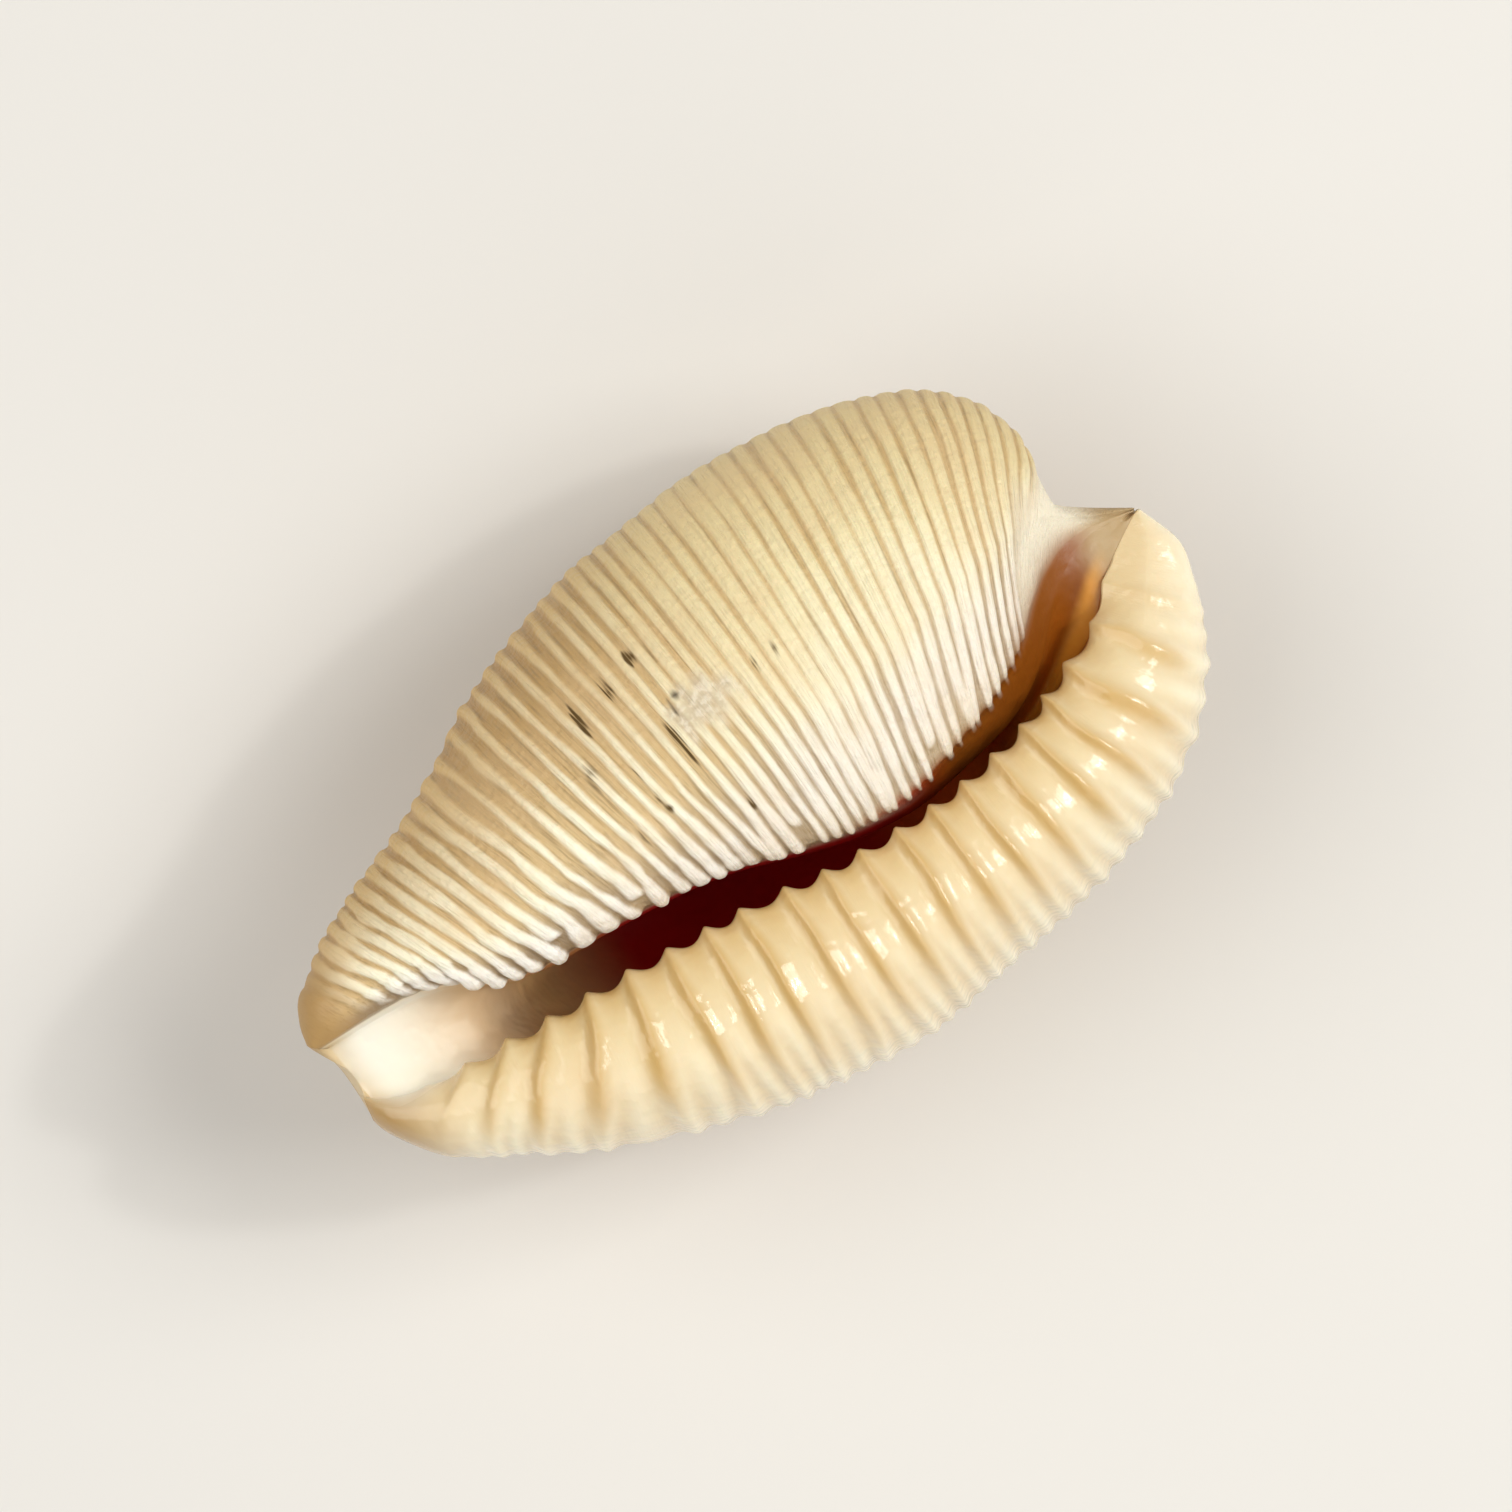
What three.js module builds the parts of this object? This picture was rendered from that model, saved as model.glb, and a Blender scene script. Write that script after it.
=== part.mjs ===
import * as THREE from 'three';

// Cape cowrie shell, lying on its back with the slit-shaped aperture facing up.
// Millimetres. +X runs to the broad rear end, +Y to the columella side, +Z up out of the aperture.

// Size of the whole shell. The guide curves below are drawn on a shell of just these sizes.
const SHELL_LENGTH = 30;
const SHELL_WIDTH = 17.8;
const SHELL_HEIGHT = 14.4;
const DRAWN_LENGTH = 30;
const DRAWN_WIDTH = 17.8;
const DRAWN_HEIGHT = 14.4;

// Wall thickness over the back, down the columella side, behind the outer lip, down through the
// lip and down through the base beside the aperture.
const BACK_WALL = 1.1;
const BODY_WALL = 1.2;
const LIP_WALL = 2;
const LIP_THICKNESS = 2.7;
const BASE_THICKNESS = 1.5;

// Transverse ribs: how many cross the shell, and how far they stand up.
const RIB_COUNT = 60;
const BODY_RIB_HEIGHT = 0.12;
const BACK_RIB_HEIGHT = 0.1;
const LIP_RIB_HEIGHT = 0.17;
const RIB_END_HEIGHT = 0.2;
const TOOTH_RIDGE_HEIGHT = 0.24;
const TOOTH_HEIGHT = 0.36;

// Teeth of the outer lip: one for every two ribs of the body in the front half and for every three in
// the rear half. The lip's own margin has two ribs for every tooth.
const FIRST_TOOTH_RIB = 3;
const FRONT_TEETH = 8;
const FRONT_RIBS_PER_TOOTH = 2;
const REAR_RIBS_PER_TOOTH = 3;
const TOOTH_COUNT = 20;
const RIBS_PER_TOOTH = 2;

// Small flat worn on the highest point of the back, where the shell rests.
const WORN_FLAT_DEPTH = 0.42;

// Guide curves along the shell. Each row is a station from 0 at the front tip to 1 at the rear tip,
// then x, y and z of the guide there.
const COLUMELLA_EDGE = [
  [0, -14.76, 1.35, 11.4],
  [0.03, -14.0, 1.32, 11.9],
  [0.073, -12.78, 1.26, 12.1],
  [0.128, -11.28, 1.08, 12.3],
  [0.173, -10.08, 0.57, 12.45],
  [0.206, -9.18, -0.03, 12.5],
  [0.24, -8.28, -0.36, 12.6],
  [0.338, -5.58, -0.69, 12.8],
  [0.482, -1.68, -1.35, 13.0],
  [0.56, 0.42, -2.07, 13.1],
  [0.626, 2.22, -2.55, 13.1],
  [0.692, 4.02, -2.67, 13.1],
  [0.759, 5.82, -2.31, 13.1],
  [0.847, 8.22, -1.53, 12.9],
  [0.9, 9.6, -0.7, 12.6],
  [0.93, 10.38, -0.09, 12.3],
  [0.955, 11.22, 0.42, 11.9],
  [0.972, 12.06, 0.69, 11.55],
  [0.985, 12.87, 0.69, 11.3],
  [0.993, 13.5, 0.54, 11.15],
  [1, 14.36, 0.32, 11.0],
];
const LIP_EDGE = [
  [0, -14.49, -0.57, 11.0],
  [0.023, -14.22, -0.87, 11.2],
  [0.073, -12.93, -1.41, 11.4],
  [0.128, -11.43, -1.65, 11.8],
  [0.206, -9.18, -1.92, 12.1],
  [0.338, -5.58, -2.28, 12.5],
  [0.482, -1.68, -2.76, 12.7],
  [0.56, 0.42, -3.15, 12.8],
  [0.626, 2.22, -3.36, 12.8],
  [0.692, 4.02, -3.45, 12.8],
  [0.759, 5.82, -3.39, 12.7],
  [0.847, 8.22, -2.97, 12.4],
  [0.914, 10.02, -2.34, 12.0],
  [0.95, 11.46, -1.71, 11.7],
  [0.975, 12.57, -0.75, 11.4],
  [0.99, 13.62, -0.15, 11.15],
  [1, 14.43, 0.27, 11.0],
];
const COLUMELLA_MARGIN = [
  [0, -14.97, 1.62, 11.1],
  [0.008, -14.88, 2.01, 11.0],
  [0.023, -14.64, 2.55, 10.9],
  [0.073, -13.83, 3.21, 10.6],
  [0.128, -12.63, 3.93, 10.1],
  [0.206, -10.98, 4.62, 9.5],
  [0.272, -9.24, 5.22, 9.0],
  [0.338, -7.53, 5.97, 8.6],
  [0.4, -5.58, 7.05, 8.3],
  [0.482, -3.24, 7.92, 7.9],
  [0.56, -0.78, 8.58, 7.6],
  [0.626, 1.32, 8.76, 7.5],
  [0.692, 3.87, 8.91, 7.5],
  [0.759, 6.42, 8.67, 7.6],
  [0.847, 9.66, 7.8, 8.0],
  [0.914, 11.82, 6.42, 8.9],
  [0.945, 12.6, 5.22, 9.4],
  [0.962, 12.84, 4.11, 9.9],
  [0.975, 12.66, 3.1, 10.3],
  [0.985, 12.36, 2.28, 10.6],
  [0.99, 12.54, 1.8, 10.65],
  [0.995, 13.32, 1.14, 10.75],
  [1, 14.4, 0.36, 10.9],
];
const LIP_MARGIN = [
  [0, -14.67, -1.38, 10.8],
  [0.01, -14.58, -1.77, 10.7],
  [0.035, -13.83, -3.09, 10.5],
  [0.073, -12.93, -3.93, 10.2],
  [0.128, -11.58, -4.77, 9.8],
  [0.206, -9.93, -5.85, 9.3],
  [0.272, -8.28, -6.63, 8.9],
  [0.338, -6.33, -7.44, 8.6],
  [0.4, -4.38, -8.1, 8.4],
  [0.482, -2.04, -8.58, 8.3],
  [0.56, 0.27, -8.9, 8.2],
  [0.626, 2.22, -8.76, 8.2],
  [0.692, 4.02, -8.55, 8.2],
  [0.759, 6.12, -8.31, 8.4],
  [0.847, 9.27, -7.56, 8.8],
  [0.9, 11.22, -6.69, 9.3],
  [0.935, 12.87, -5.37, 9.8],
  [0.96, 13.92, -3.99, 10.2],
  [0.98, 14.64, -2.43, 10.6],
  [0.99, 14.94, -1.23, 10.8],
  [1, 14.52, 0.24, 10.85],
];
const BACK_LINE = [
  [0, -14.6, 0.25, 10.0],
  [0.03, -14.4, 0, 8.7],
  [0.073, -13.8, -0.25, 7.1],
  [0.128, -12.6, -0.4, 5.4],
  [0.206, -10.7, -0.4, 3.45],
  [0.272, -9.0, -0.4, 2.2],
  [0.338, -7.1, -0.4, 1.25],
  [0.4, -5.3, -0.4, 0.65],
  [0.482, -2.9, -0.4, 0.17],
  [0.56, -0.5, -0.4, 0],
  [0.626, 1.6, -0.4, 0.03],
  [0.692, 3.8, -0.4, 0.2],
  [0.759, 6.1, -0.4, 0.65],
  [0.847, 9.2, -0.2, 1.9],
  [0.9, 10.8, 0, 3.5],
  [0.94, 11.7, 0.3, 5.5],
  [0.97, 12.2, 0.8, 7.7],
  [0.985, 12.6, 1.0, 9.0],
  [1, 14.3, 0.32, 10.7],
];

// Height of the crest of the base beside the aperture and of the crest of the outer lip.
const CREST_HEIGHTS = [
  [0, 11.45, 11.2],
  [0.03, 12.0, 11.8],
  [0.073, 12.35, 12.3],
  [0.13, 12.8, 12.8],
  [0.25, 13.45, 13.3],
  [0.45, 14.15, 13.6],
  [0.65, 14.4, 13.6],
  [0.8, 14.2, 13.4],
  [0.9, 13.4, 13.0],
  [0.96, 12.05, 12.2],
  [0.985, 11.42, 11.5],
  [1, 11.03, 11.04],
];
const BASE_CREST_SHARE = 0.33;
const LIP_CREST_SHARE = 0.42;

// How far each edge leans over the aperture, how deep it rolls in on the columella side and on the
// lip side, and the height of the floor of the canals.
const APERTURE = [
  [0, 0.12, 0.35, -0.05, 0.35, 10.75],
  [0.06, 0.15, 0.6, -0.05, 0.6, 10.8],
  [0.12, 0.2, 0.9, -0.1, 0.9, 10.5],
  [0.175, 0.2, 1.2, -0.15, 1.2, 9.9],
  [0.25, 0.15, 1.5, -0.2, 1.6, 8.2],
  [0.35, 0.15, 1.7, -0.2, 2.0, 5.4],
  [0.5, 0.18, 1.9, -0.2, 2.2, 2.2],
  [0.62, 0.3, 2.2, -0.2, 2.2, 2.4],
  [0.7, 0.42, 2.2, -0.25, 2.2, 4.0],
  [0.78, 0.6, 1.8, -0.3, 2.0, 7.0],
  [0.85, 0.75, 1.3, -0.2, 1.6, 9.0],
  [0.91, 0.7, 0.8, -0.1, 1.1, 9.9],
  [0.95, 0.5, 0.35, -0.05, 0.45, 10.95],
  [0.97, 0.35, 0.12, 0, 0.15, 11.3],
  [0.985, 0.15, 0.04, 0, 0.04, 11.25],
  [1, 0.05, 0.01, 0, 0.01, 11.0],
];

// Stations between which the open canals widen into the hollow of the body.
const FRONT_CANAL_END = [0.14, 0.4];
const REAR_CANAL_START = [0.7, 0.84];

// The rear canal's walls slope more gently towards the tip, between these stations.
const SOFT_CANAL = [0.78, 0.95];

// Guide points of the hollow under the base and under the lip: how far they lie from edge to margin.
// The next ones stand over the columella margin and under the lip margin by these heights.
const BASE_HOLLOW_SHARE = 0.42;
const LIP_HOLLOW_SHARE = 0.3;
const COLUMELLA_HOLLOW_RISE = 0.4;
const LIP_HOLLOW_DROP = 1.8;
const WIDEST_WALL_SHARE = 0.5;

// The inside starts this many times as far in from the edges as the outside's last column.
const EDGE_ROLL = 1.3;

// Where the ribs start along the columella edge and along the outer lip: rib number, station.
const BODY_RIB_STATIONS = [[0, 0], [3, 0.073], [12, 0.272], [21.5, 0.482], [35, 0.688], [49.8, 0.914],
  [54.5, 0.962], [60, 1]];
const LIP_RIB_STATIONS = [
  [0, 0],
  [3, 0.078],
  [9, 0.226],
  [19, 0.465],
  [28, 0.61],
  [37, 0.745],
  [46, 0.875],
  [52, 0.948],
  [60, 1],
];

// Behind the middle the ribs lean back on their way from the aperture to the base: rib number, and
// by how many stations. They have done so at the last of these columns.
const RIB_LEAN = [[0, 0], [22, 0], [36, 0.04], [50, 0.045], [60, 0]];
const LEAN_COLUMNS = [0, 1.6];

// Stations between which the ribs come to reach the columella edge. The front canal's edge is plain.
const PLAIN_EDGE_END = [0.06, 0.19];

// Smooth callus at the rear of the base: station, and the column up to which it covers the ribs.
const CALLUS_START = 0.88;
const CALLUS_COLUMNS = [[CALLUS_START, -0.4], [0.9, 0.35], [0.935, 1], [0.97, 1.5], [0.985, 2.3], [1, 3]];
const CALLUS_BLEND = 0.25;

// Columns of points across the outside: -1 is inside the columella edge, 0 the columella edge,
// 1 the crest of the base, 2 the columella margin, 3 the back, 4 the lip margin, 5 the crest of
// the lip, 6 the edge of the lip and 7 inside it.
const OUTER_COLUMNS = [
  -1, -0.45, 0, 0.2, 0.45, 0.72, 1, 1.22, 1.42, 1.62, 1.81, 2, 2.2, 2.4, 2.6, 2.78, 2.9,
  3, 3.1, 3.22, 3.4, 3.6, 3.8, 4, 4.22, 4.46, 4.72, 5, 5.28, 5.54, 5.78, 6, 6.45, 7,
];
const FIRST_COLUMN = OUTER_COLUMNS[0];
const LAST_COLUMN = OUTER_COLUMNS[OUTER_COLUMNS.length - 1];
const ROWS_PER_RIB = 2;
const INNER_ROWS = 36;
const INNER_START = 0.014;
const INNER_END = 0.985;
const INNER_COLUMNS = 15;
const INNER_SPANS = 6;

// Ribs over which the ribbing rises from the front tip and dies out at the rear tip.
const FRONT_RIB_FADE = [1, 4.5];
const REAR_RIB_FADE = 1.5;
const FRONT_TOOTH_FADE = [-0.8, 3];
const REAR_TOOTH_FADE = 2;

// How much of a tooth's height is cut back between the teeth.
const TOOTH_CUT = 0.4;
const NORMAL_STEP = 0.02;

const DRAWN_TO_REAL = new THREE.Vector3(
  SHELL_LENGTH / DRAWN_LENGTH, SHELL_WIDTH / DRAWN_WIDTH, SHELL_HEIGHT / DRAWN_HEIGHT);
const lerp = THREE.MathUtils.lerp;
const smooth = THREE.MathUtils.smoothstep;

// Smooth curve through rows of a station and its values.
function guide(rows) {
  const last = rows.length - 1;
  const rise = (i, c) => (rows[i + 1][c] - rows[i][c]) / (rows[i + 1][0] - rows[i][0]);
  const slope = (i, c) => {
    if (i === 0) return rise(0, c);
    if (i === last) return rise(last - 1, c);
    const before = rows[i][0] - rows[i - 1][0];
    const after = rows[i + 1][0] - rows[i][0];
    return (rise(i - 1, c) * after + rise(i, c) * before) / (before + after);
  };
  return (station) => {
    let i = 0;
    while (i < last - 1 && station > rows[i + 1][0]) i += 1;
    const span = rows[i + 1][0] - rows[i][0];
    const s = (station - rows[i][0]) / span;
    const values = [];
    for (let c = 1; c < rows[i].length; c += 1) {
      const a = rows[i][c];
      const b = rows[i + 1][c];
      const ease = s * s * (3 - 2 * s);
      const leave = s * (1 - s) * (1 - s) * span * slope(i, c);
      const arrive = s * s * (1 - s) * span * slope(i + 1, c);
      values.push(lerp(a, b, ease) + leave - arrive);
    }
    return values;
  };
}

const columellaEdge = guide(COLUMELLA_EDGE);
const lipEdge = guide(LIP_EDGE);
const columellaMargin = guide(COLUMELLA_MARGIN);
const lipMargin = guide(LIP_MARGIN);
const backLine = guide(BACK_LINE);
const crestHeights = guide(CREST_HEIGHTS);
const aperture = guide(APERTURE);
const bodyRibStation = guide(BODY_RIB_STATIONS);
const lipRibStation = guide(LIP_RIB_STATIONS);
const callusColumn = guide(CALLUS_COLUMNS);
const ribLean = guide(RIB_LEAN);

// Point between two others in plan, with a height of its own.
function between(from, to, share, height) {
  return [lerp(from[0], to[0], share), lerp(from[1], to[1], share), height];
}

// Quarter-ellipse across the shell, from an upright end to a level one. Seen from above, the
// points of the base and of the lip stay on the straight line from edge to margin.
function quarterArc(upright, level, share) {
  const turn = share * Math.PI / 2;
  const across = 1 - Math.cos(turn);
  return [lerp(upright[0], level[0], across), lerp(upright[1], level[1], across),
    lerp(upright[2], level[2], Math.sin(turn))];
}

// The back bows out to full width sooner than it swings forward or aft.
function backArc(margin, back, share) {
  const turn = share * Math.PI / 2;
  const point = quarterArc(margin, back, share);
  point[0] = lerp(margin[0], back[0], Math.sin(turn) ** 2);
  return point;
}

// Outside of the shell without its ribs.
function plainOutside(station, column) {
  const [baseCrestHeight, lipCrestHeight] = crestHeights(station);
  const [lean, depth, lipLean, lipDepth] = aperture(station);
  if (column < 3) {
    const edge = columellaEdge(station);
    const margin = columellaMargin(station);
    const crest = between(edge, margin, BASE_CREST_SHARE, baseCrestHeight);
    if (column < 0) return [edge[0], edge[1] + lean * column, edge[2] + depth * column];
    if (column < 1) return quarterArc(edge, crest, column);
    if (column < 2) return quarterArc(margin, crest, 2 - column);
    return backArc(margin, backLine(station), column - 2);
  }
  const edge = lipEdge(station);
  const margin = lipMargin(station);
  const crest = between(edge, margin, LIP_CREST_SHARE, lipCrestHeight);
  if (column > 6) {
    const inward = column - 6;
    return [edge[0], edge[1] + lipLean * inward, edge[2] - lipDepth * inward];
  }
  if (column > 5) return quarterArc(edge, crest, 6 - column);
  if (column > 4) return quarterArc(margin, crest, column - 4);
  return backArc(margin, backLine(station), 4 - column);
}

// Rib rows follow the columella side up to its margin, then drift over the back to the lip side.
function stationOf(rib, column) {
  const drift = smooth(column, 2, 4);
  const lean = ribLean(rib)[0] * smooth(column, ...LEAN_COLUMNS);
  return lerp(bodyRibStation(rib)[0] + lean, lipRibStation(rib)[0], drift);
}

function outsidePoint(rib, column) {
  return new THREE.Vector3(...plainOutside(stationOf(rib, column), column));
}

// Direction out of the shell, from neighbouring points of the plain outside.
function outward(rib, column) {
  const ribBefore = Math.max(rib - NORMAL_STEP, 0);
  const ribAfter = Math.min(rib + NORMAL_STEP, RIB_COUNT);
  const columnBefore = Math.max(column - NORMAL_STEP, FIRST_COLUMN);
  const columnAfter = Math.min(column + NORMAL_STEP, LAST_COLUMN);
  const along = outsidePoint(ribAfter, column).sub(outsidePoint(ribBefore, column));
  const across = outsidePoint(rib, columnAfter).sub(outsidePoint(rib, columnBefore));
  return along.cross(across).normalize();
}

// Rounded crest at whole numbers, groove halfway between them.
function ridge(position) {
  return Math.cos(Math.PI * (position - Math.round(position))) ** 2;
}

function toothPosition(rib) {
  const frontRibs = FIRST_TOOTH_RIB + FRONT_TEETH * FRONT_RIBS_PER_TOOTH;
  if (rib < frontRibs) return (rib - FIRST_TOOTH_RIB) / FRONT_RIBS_PER_TOOTH;
  return FRONT_TEETH + (rib - frontRibs) / REAR_RIBS_PER_TOOTH;
}

const BODY_HEIGHTS = guide([[-1, 0], [-0.4, 0.1], [0, RIB_END_HEIGHT], [0.5, RIB_END_HEIGHT * 0.8],
  [1, BODY_RIB_HEIGHT], [2, BACK_RIB_HEIGHT], [3, BACK_RIB_HEIGHT], [4, LIP_RIB_HEIGHT]]);
const LIP_RIB_HEIGHTS = guide([[4, LIP_RIB_HEIGHT], [4.6, LIP_RIB_HEIGHT * 0.9], [5.1, 0], [7, 0]]);
const TOOTH_HEIGHTS = guide([[4, 0], [4.6, 0.04], [5.1, TOOTH_RIDGE_HEIGHT], [5.6, TOOTH_RIDGE_HEIGHT * 1.1],
  [6, TOOTH_HEIGHT], [6.5, TOOTH_HEIGHT * 0.7], [7, 0]]);

// 1 where the ribs stand free, 0 under the callus and on the plain edge of the front canal.
function bare(rib, column) {
  const station = stationOf(rib, column);
  const covered = callusColumn(Math.max(station, CALLUS_START))[0] - column;
  const callus = smooth(covered, -CALLUS_BLEND, CALLUS_BLEND);
  const edge = lerp(smooth(station, ...PLAIN_EDGE_END), 1, smooth(column, 0, 1));
  return edge * (1 - callus);
}

// Height of the ribs and teeth over the plain outside. It dies out on the smooth ends. The ribs of
// the body merge over the back into two ribs for every tooth of the lip.
function relief(rib, column) {
  const ends = smooth(rib, ...FRONT_RIB_FADE) * (1 - smooth(rib, RIB_COUNT - REAR_RIB_FADE, RIB_COUNT));
  const tooth = toothPosition(rib);
  if (column <= 4) {
    const merged = lerp(ridge(rib), ridge(RIBS_PER_TOOTH * tooth), smooth(column, 3, 4));
    return ends * bare(rib, column) * BODY_HEIGHTS(column)[0] * merged;
  }
  const toothEnds = smooth(tooth, ...FRONT_TOOTH_FADE)
    * (1 - smooth(tooth, TOOTH_COUNT - REAR_TOOTH_FADE, TOOTH_COUNT));
  const ribs = ends * LIP_RIB_HEIGHTS(column)[0] * ridge(RIBS_PER_TOOTH * tooth);
  return ribs + toothEnds * TOOTH_HEIGHTS(column)[0] * (ridge(tooth) - TOOTH_CUT);
}

function ribbedOutside(rib, column) {
  return outsidePoint(rib, column).addScaledVector(outward(rib, column), relief(rib, column));
}

// Point a wall's thickness inside a margin, towards the edge on the same side.
function insideMargin(margin, edge, wall, height) {
  const reach = Math.hypot(edge[0] - margin[0], edge[1] - margin[1]);
  return between(margin, edge, Math.min(wall / reach, WIDEST_WALL_SHARE), height);
}

// Inside of the shell: an open canal at both ends and the hollow of the body between them.
// Columns run from 0 under the columella edge to 6 under the lip.
function insideGuides(station) {
  const edge = columellaEdge(station);
  const margin = columellaMargin(station);
  const outerEdge = lipEdge(station);
  const outerMargin = lipMargin(station);
  const back = backLine(station);
  const [baseCrestHeight, lipCrestHeight] = crestHeights(station);
  const [lean, depth, lipLean, lipDepth, floor] = aperture(station);
  const start = [edge[0], edge[1] - lean * EDGE_ROLL, edge[2] - depth * EDGE_ROLL];
  const end = [outerEdge[0], outerEdge[1] + lipLean * EDGE_ROLL, outerEdge[2] - lipDepth * EDGE_ROLL];
  const hollow = [
    start,
    between(edge, margin, BASE_HOLLOW_SHARE, baseCrestHeight - BASE_THICKNESS),
    insideMargin(margin, edge, BODY_WALL, margin[2] + COLUMELLA_HOLLOW_RISE),
    [back[0], back[1], back[2] + BACK_WALL],
    insideMargin(outerMargin, outerEdge, LIP_WALL, outerMargin[2] - LIP_HOLLOW_DROP),
    between(outerEdge, outerMargin, LIP_HOLLOW_SHARE, lipCrestHeight - LIP_THICKNESS),
    end,
  ];
  const open = smooth(station, ...FRONT_CANAL_END) * (1 - smooth(station, ...REAR_CANAL_START));
  const soft = smooth(station, ...SOFT_CANAL);
  return hollow.map((point, k) => {
    const turn = Math.PI * k / INNER_SPANS;
    const share = lerp((1 - Math.cos(turn)) / 2, k / INNER_SPANS, soft);
    const rim = lerp(start[2], end[2], share);
    const canal = between(start, end, share, rim + (floor - (start[2] + end[2]) / 2) * Math.sin(turn));
    return canal.map((value, axis) => lerp(value, point[axis], open));
  });
}

function insidePoint(station, column) {
  const curve = new THREE.CatmullRomCurve3(
    insideGuides(station).map((point) => new THREE.Vector3(...point)), false, 'centripetal');
  return curve.getPoint(column / INNER_SPANS);
}

// Grid of points with its triangles.
function addGrid(points, triangles, rows, columns, pointAt, flip) {
  const first = points.length;
  for (let r = 0; r < rows; r += 1) {
    for (let c = 0; c < columns; c += 1) points.push(pointAt(r, c));
  }
  for (let r = 0; r < rows - 1; r += 1) {
    for (let c = 0; c < columns - 1; c += 1) {
      const a = first + r * columns + c;
      const b = a + columns;
      const quad = [[a, b, b + 1], [a, b + 1, a + 1]];
      quad.forEach(([p, q, s]) => triangles.push(...(flip ? [p, s, q] : [p, q, s])));
    }
  }
  return first;
}

// Border of a grid as a closed ring: each entry is a point and how far round the ring it is, from 0
// to 4, with one whole number for each side. The rows have one share at each end.
function border(first, rows, columns, startShare, endShare, columnShare) {
  const ring = [];
  const at = (r, c) => first + r * columns + c;
  for (let r = 0; r < rows - 1; r += 1) ring.push([at(r, 0), startShare(r)]);
  for (let c = 0; c < columns - 1; c += 1) ring.push([at(rows - 1, c), 1 + columnShare(c)]);
  for (let r = rows - 1; r > 0; r -= 1) ring.push([at(r, columns - 1), 3 - endShare(r)]);
  for (let c = columns - 1; c > 0; c -= 1) ring.push([at(0, c), 4 - columnShare(c)]);
  return ring;
}

// Band of triangles between two rings.
function joinRings(triangles, outer, inner) {
  let i = 0;
  let j = 0;
  const share = (ring, k) => (k < ring.length ? ring[k][1] : 4);
  const point = (ring, k) => ring[k % ring.length][0];
  while (i < outer.length || j < inner.length) {
    const stepOuter = j >= inner.length || (i < outer.length && share(outer, i + 1) <= share(inner, j + 1));
    const a = point(outer, i);
    const b = point(inner, j);
    if (stepOuter) {
      i += 1;
      triangles.push(a, b, point(outer, i));
    } else {
      j += 1;
      triangles.push(a, b, point(inner, j));
    }
  }
}

function shellGeometry() {
  const points = [];
  const triangles = [];
  const rows = ROWS_PER_RIB * RIB_COUNT + 1;
  const columns = OUTER_COLUMNS.length;
  const outerFirst = addGrid(points, triangles, rows, columns,
    (r, c) => ribbedOutside(r / ROWS_PER_RIB, OUTER_COLUMNS[c]), false);
  const innerStation = (r) => lerp(INNER_START, INNER_END, r / (INNER_ROWS - 1));
  const innerColumn = (c) => INNER_SPANS * c / (INNER_COLUMNS - 1);
  const innerFirst = addGrid(points, triangles, INNER_ROWS, INNER_COLUMNS,
    (r, c) => insidePoint(innerStation(r), innerColumn(c)), true);
  const outerRing = border(outerFirst, rows, columns, (r) => stationOf(r / ROWS_PER_RIB, FIRST_COLUMN),
    (r) => stationOf(r / ROWS_PER_RIB, LAST_COLUMN), (c) => c / (columns - 1));
  const innerRing = border(innerFirst, INNER_ROWS, INNER_COLUMNS, innerStation, innerStation,
    (c) => c / (INNER_COLUMNS - 1));
  joinRings(triangles, outerRing, innerRing);
  points.forEach((point) => point.multiply(DRAWN_TO_REAL));
  layOnBack(points);
  const geometry = new THREE.BufferGeometry();
  geometry.setAttribute('position', new THREE.Float32BufferAttribute(points.flatMap((p) => p.toArray()), 3));
  geometry.setIndex(triangles);
  geometry.computeVertexNormals();
  return geometry;
}

// Centre the shell over the origin and wear the flat that it rests on.
function layOnBack(points) {
  const box = new THREE.Box3().setFromPoints(points);
  const floor = box.min.z + WORN_FLAT_DEPTH;
  const centre = box.getCenter(new THREE.Vector3());
  points.forEach((point) => {
    point.x -= centre.x;
    point.y -= centre.y;
    point.z = Math.max(point.z, floor) - floor;
  });
}

const shellMaterial = new THREE.MeshStandardMaterial({ color: 0xe6d3a8, roughness: 0.35, metalness: 0 });
const shell = new THREE.Mesh(shellGeometry(), shellMaterial);
shell.name = 'shell';

const cowrie = new THREE.Group();
cowrie.add(shell);

export default cowrie;
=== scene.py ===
import math

import bpy
import numpy as np
from mathutils import Matrix, Vector


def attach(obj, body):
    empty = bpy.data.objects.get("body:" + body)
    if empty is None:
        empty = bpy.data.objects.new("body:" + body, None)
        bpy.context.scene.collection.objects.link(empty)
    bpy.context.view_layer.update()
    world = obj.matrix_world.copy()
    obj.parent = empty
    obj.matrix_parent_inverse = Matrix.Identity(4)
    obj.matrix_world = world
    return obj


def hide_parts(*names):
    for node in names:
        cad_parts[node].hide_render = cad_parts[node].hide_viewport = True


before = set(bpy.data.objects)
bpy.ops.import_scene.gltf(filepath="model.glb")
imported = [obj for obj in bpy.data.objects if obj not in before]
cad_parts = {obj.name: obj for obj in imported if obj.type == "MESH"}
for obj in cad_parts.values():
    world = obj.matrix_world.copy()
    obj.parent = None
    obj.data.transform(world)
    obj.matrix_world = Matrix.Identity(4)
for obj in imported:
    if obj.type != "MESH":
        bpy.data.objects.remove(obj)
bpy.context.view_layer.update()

# The shell's size and guide curves are in millimetres, as on the solid that this mesh stands for.
MM = 0.001
WORN_FLAT_DEPTH = 0.42
BACK_WALL = 1.1
BODY_WALL = 1.2
LIP_WALL = 2.0
LIP_THICKNESS = 2.7
BASE_THICKNESS = 1.5

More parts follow.
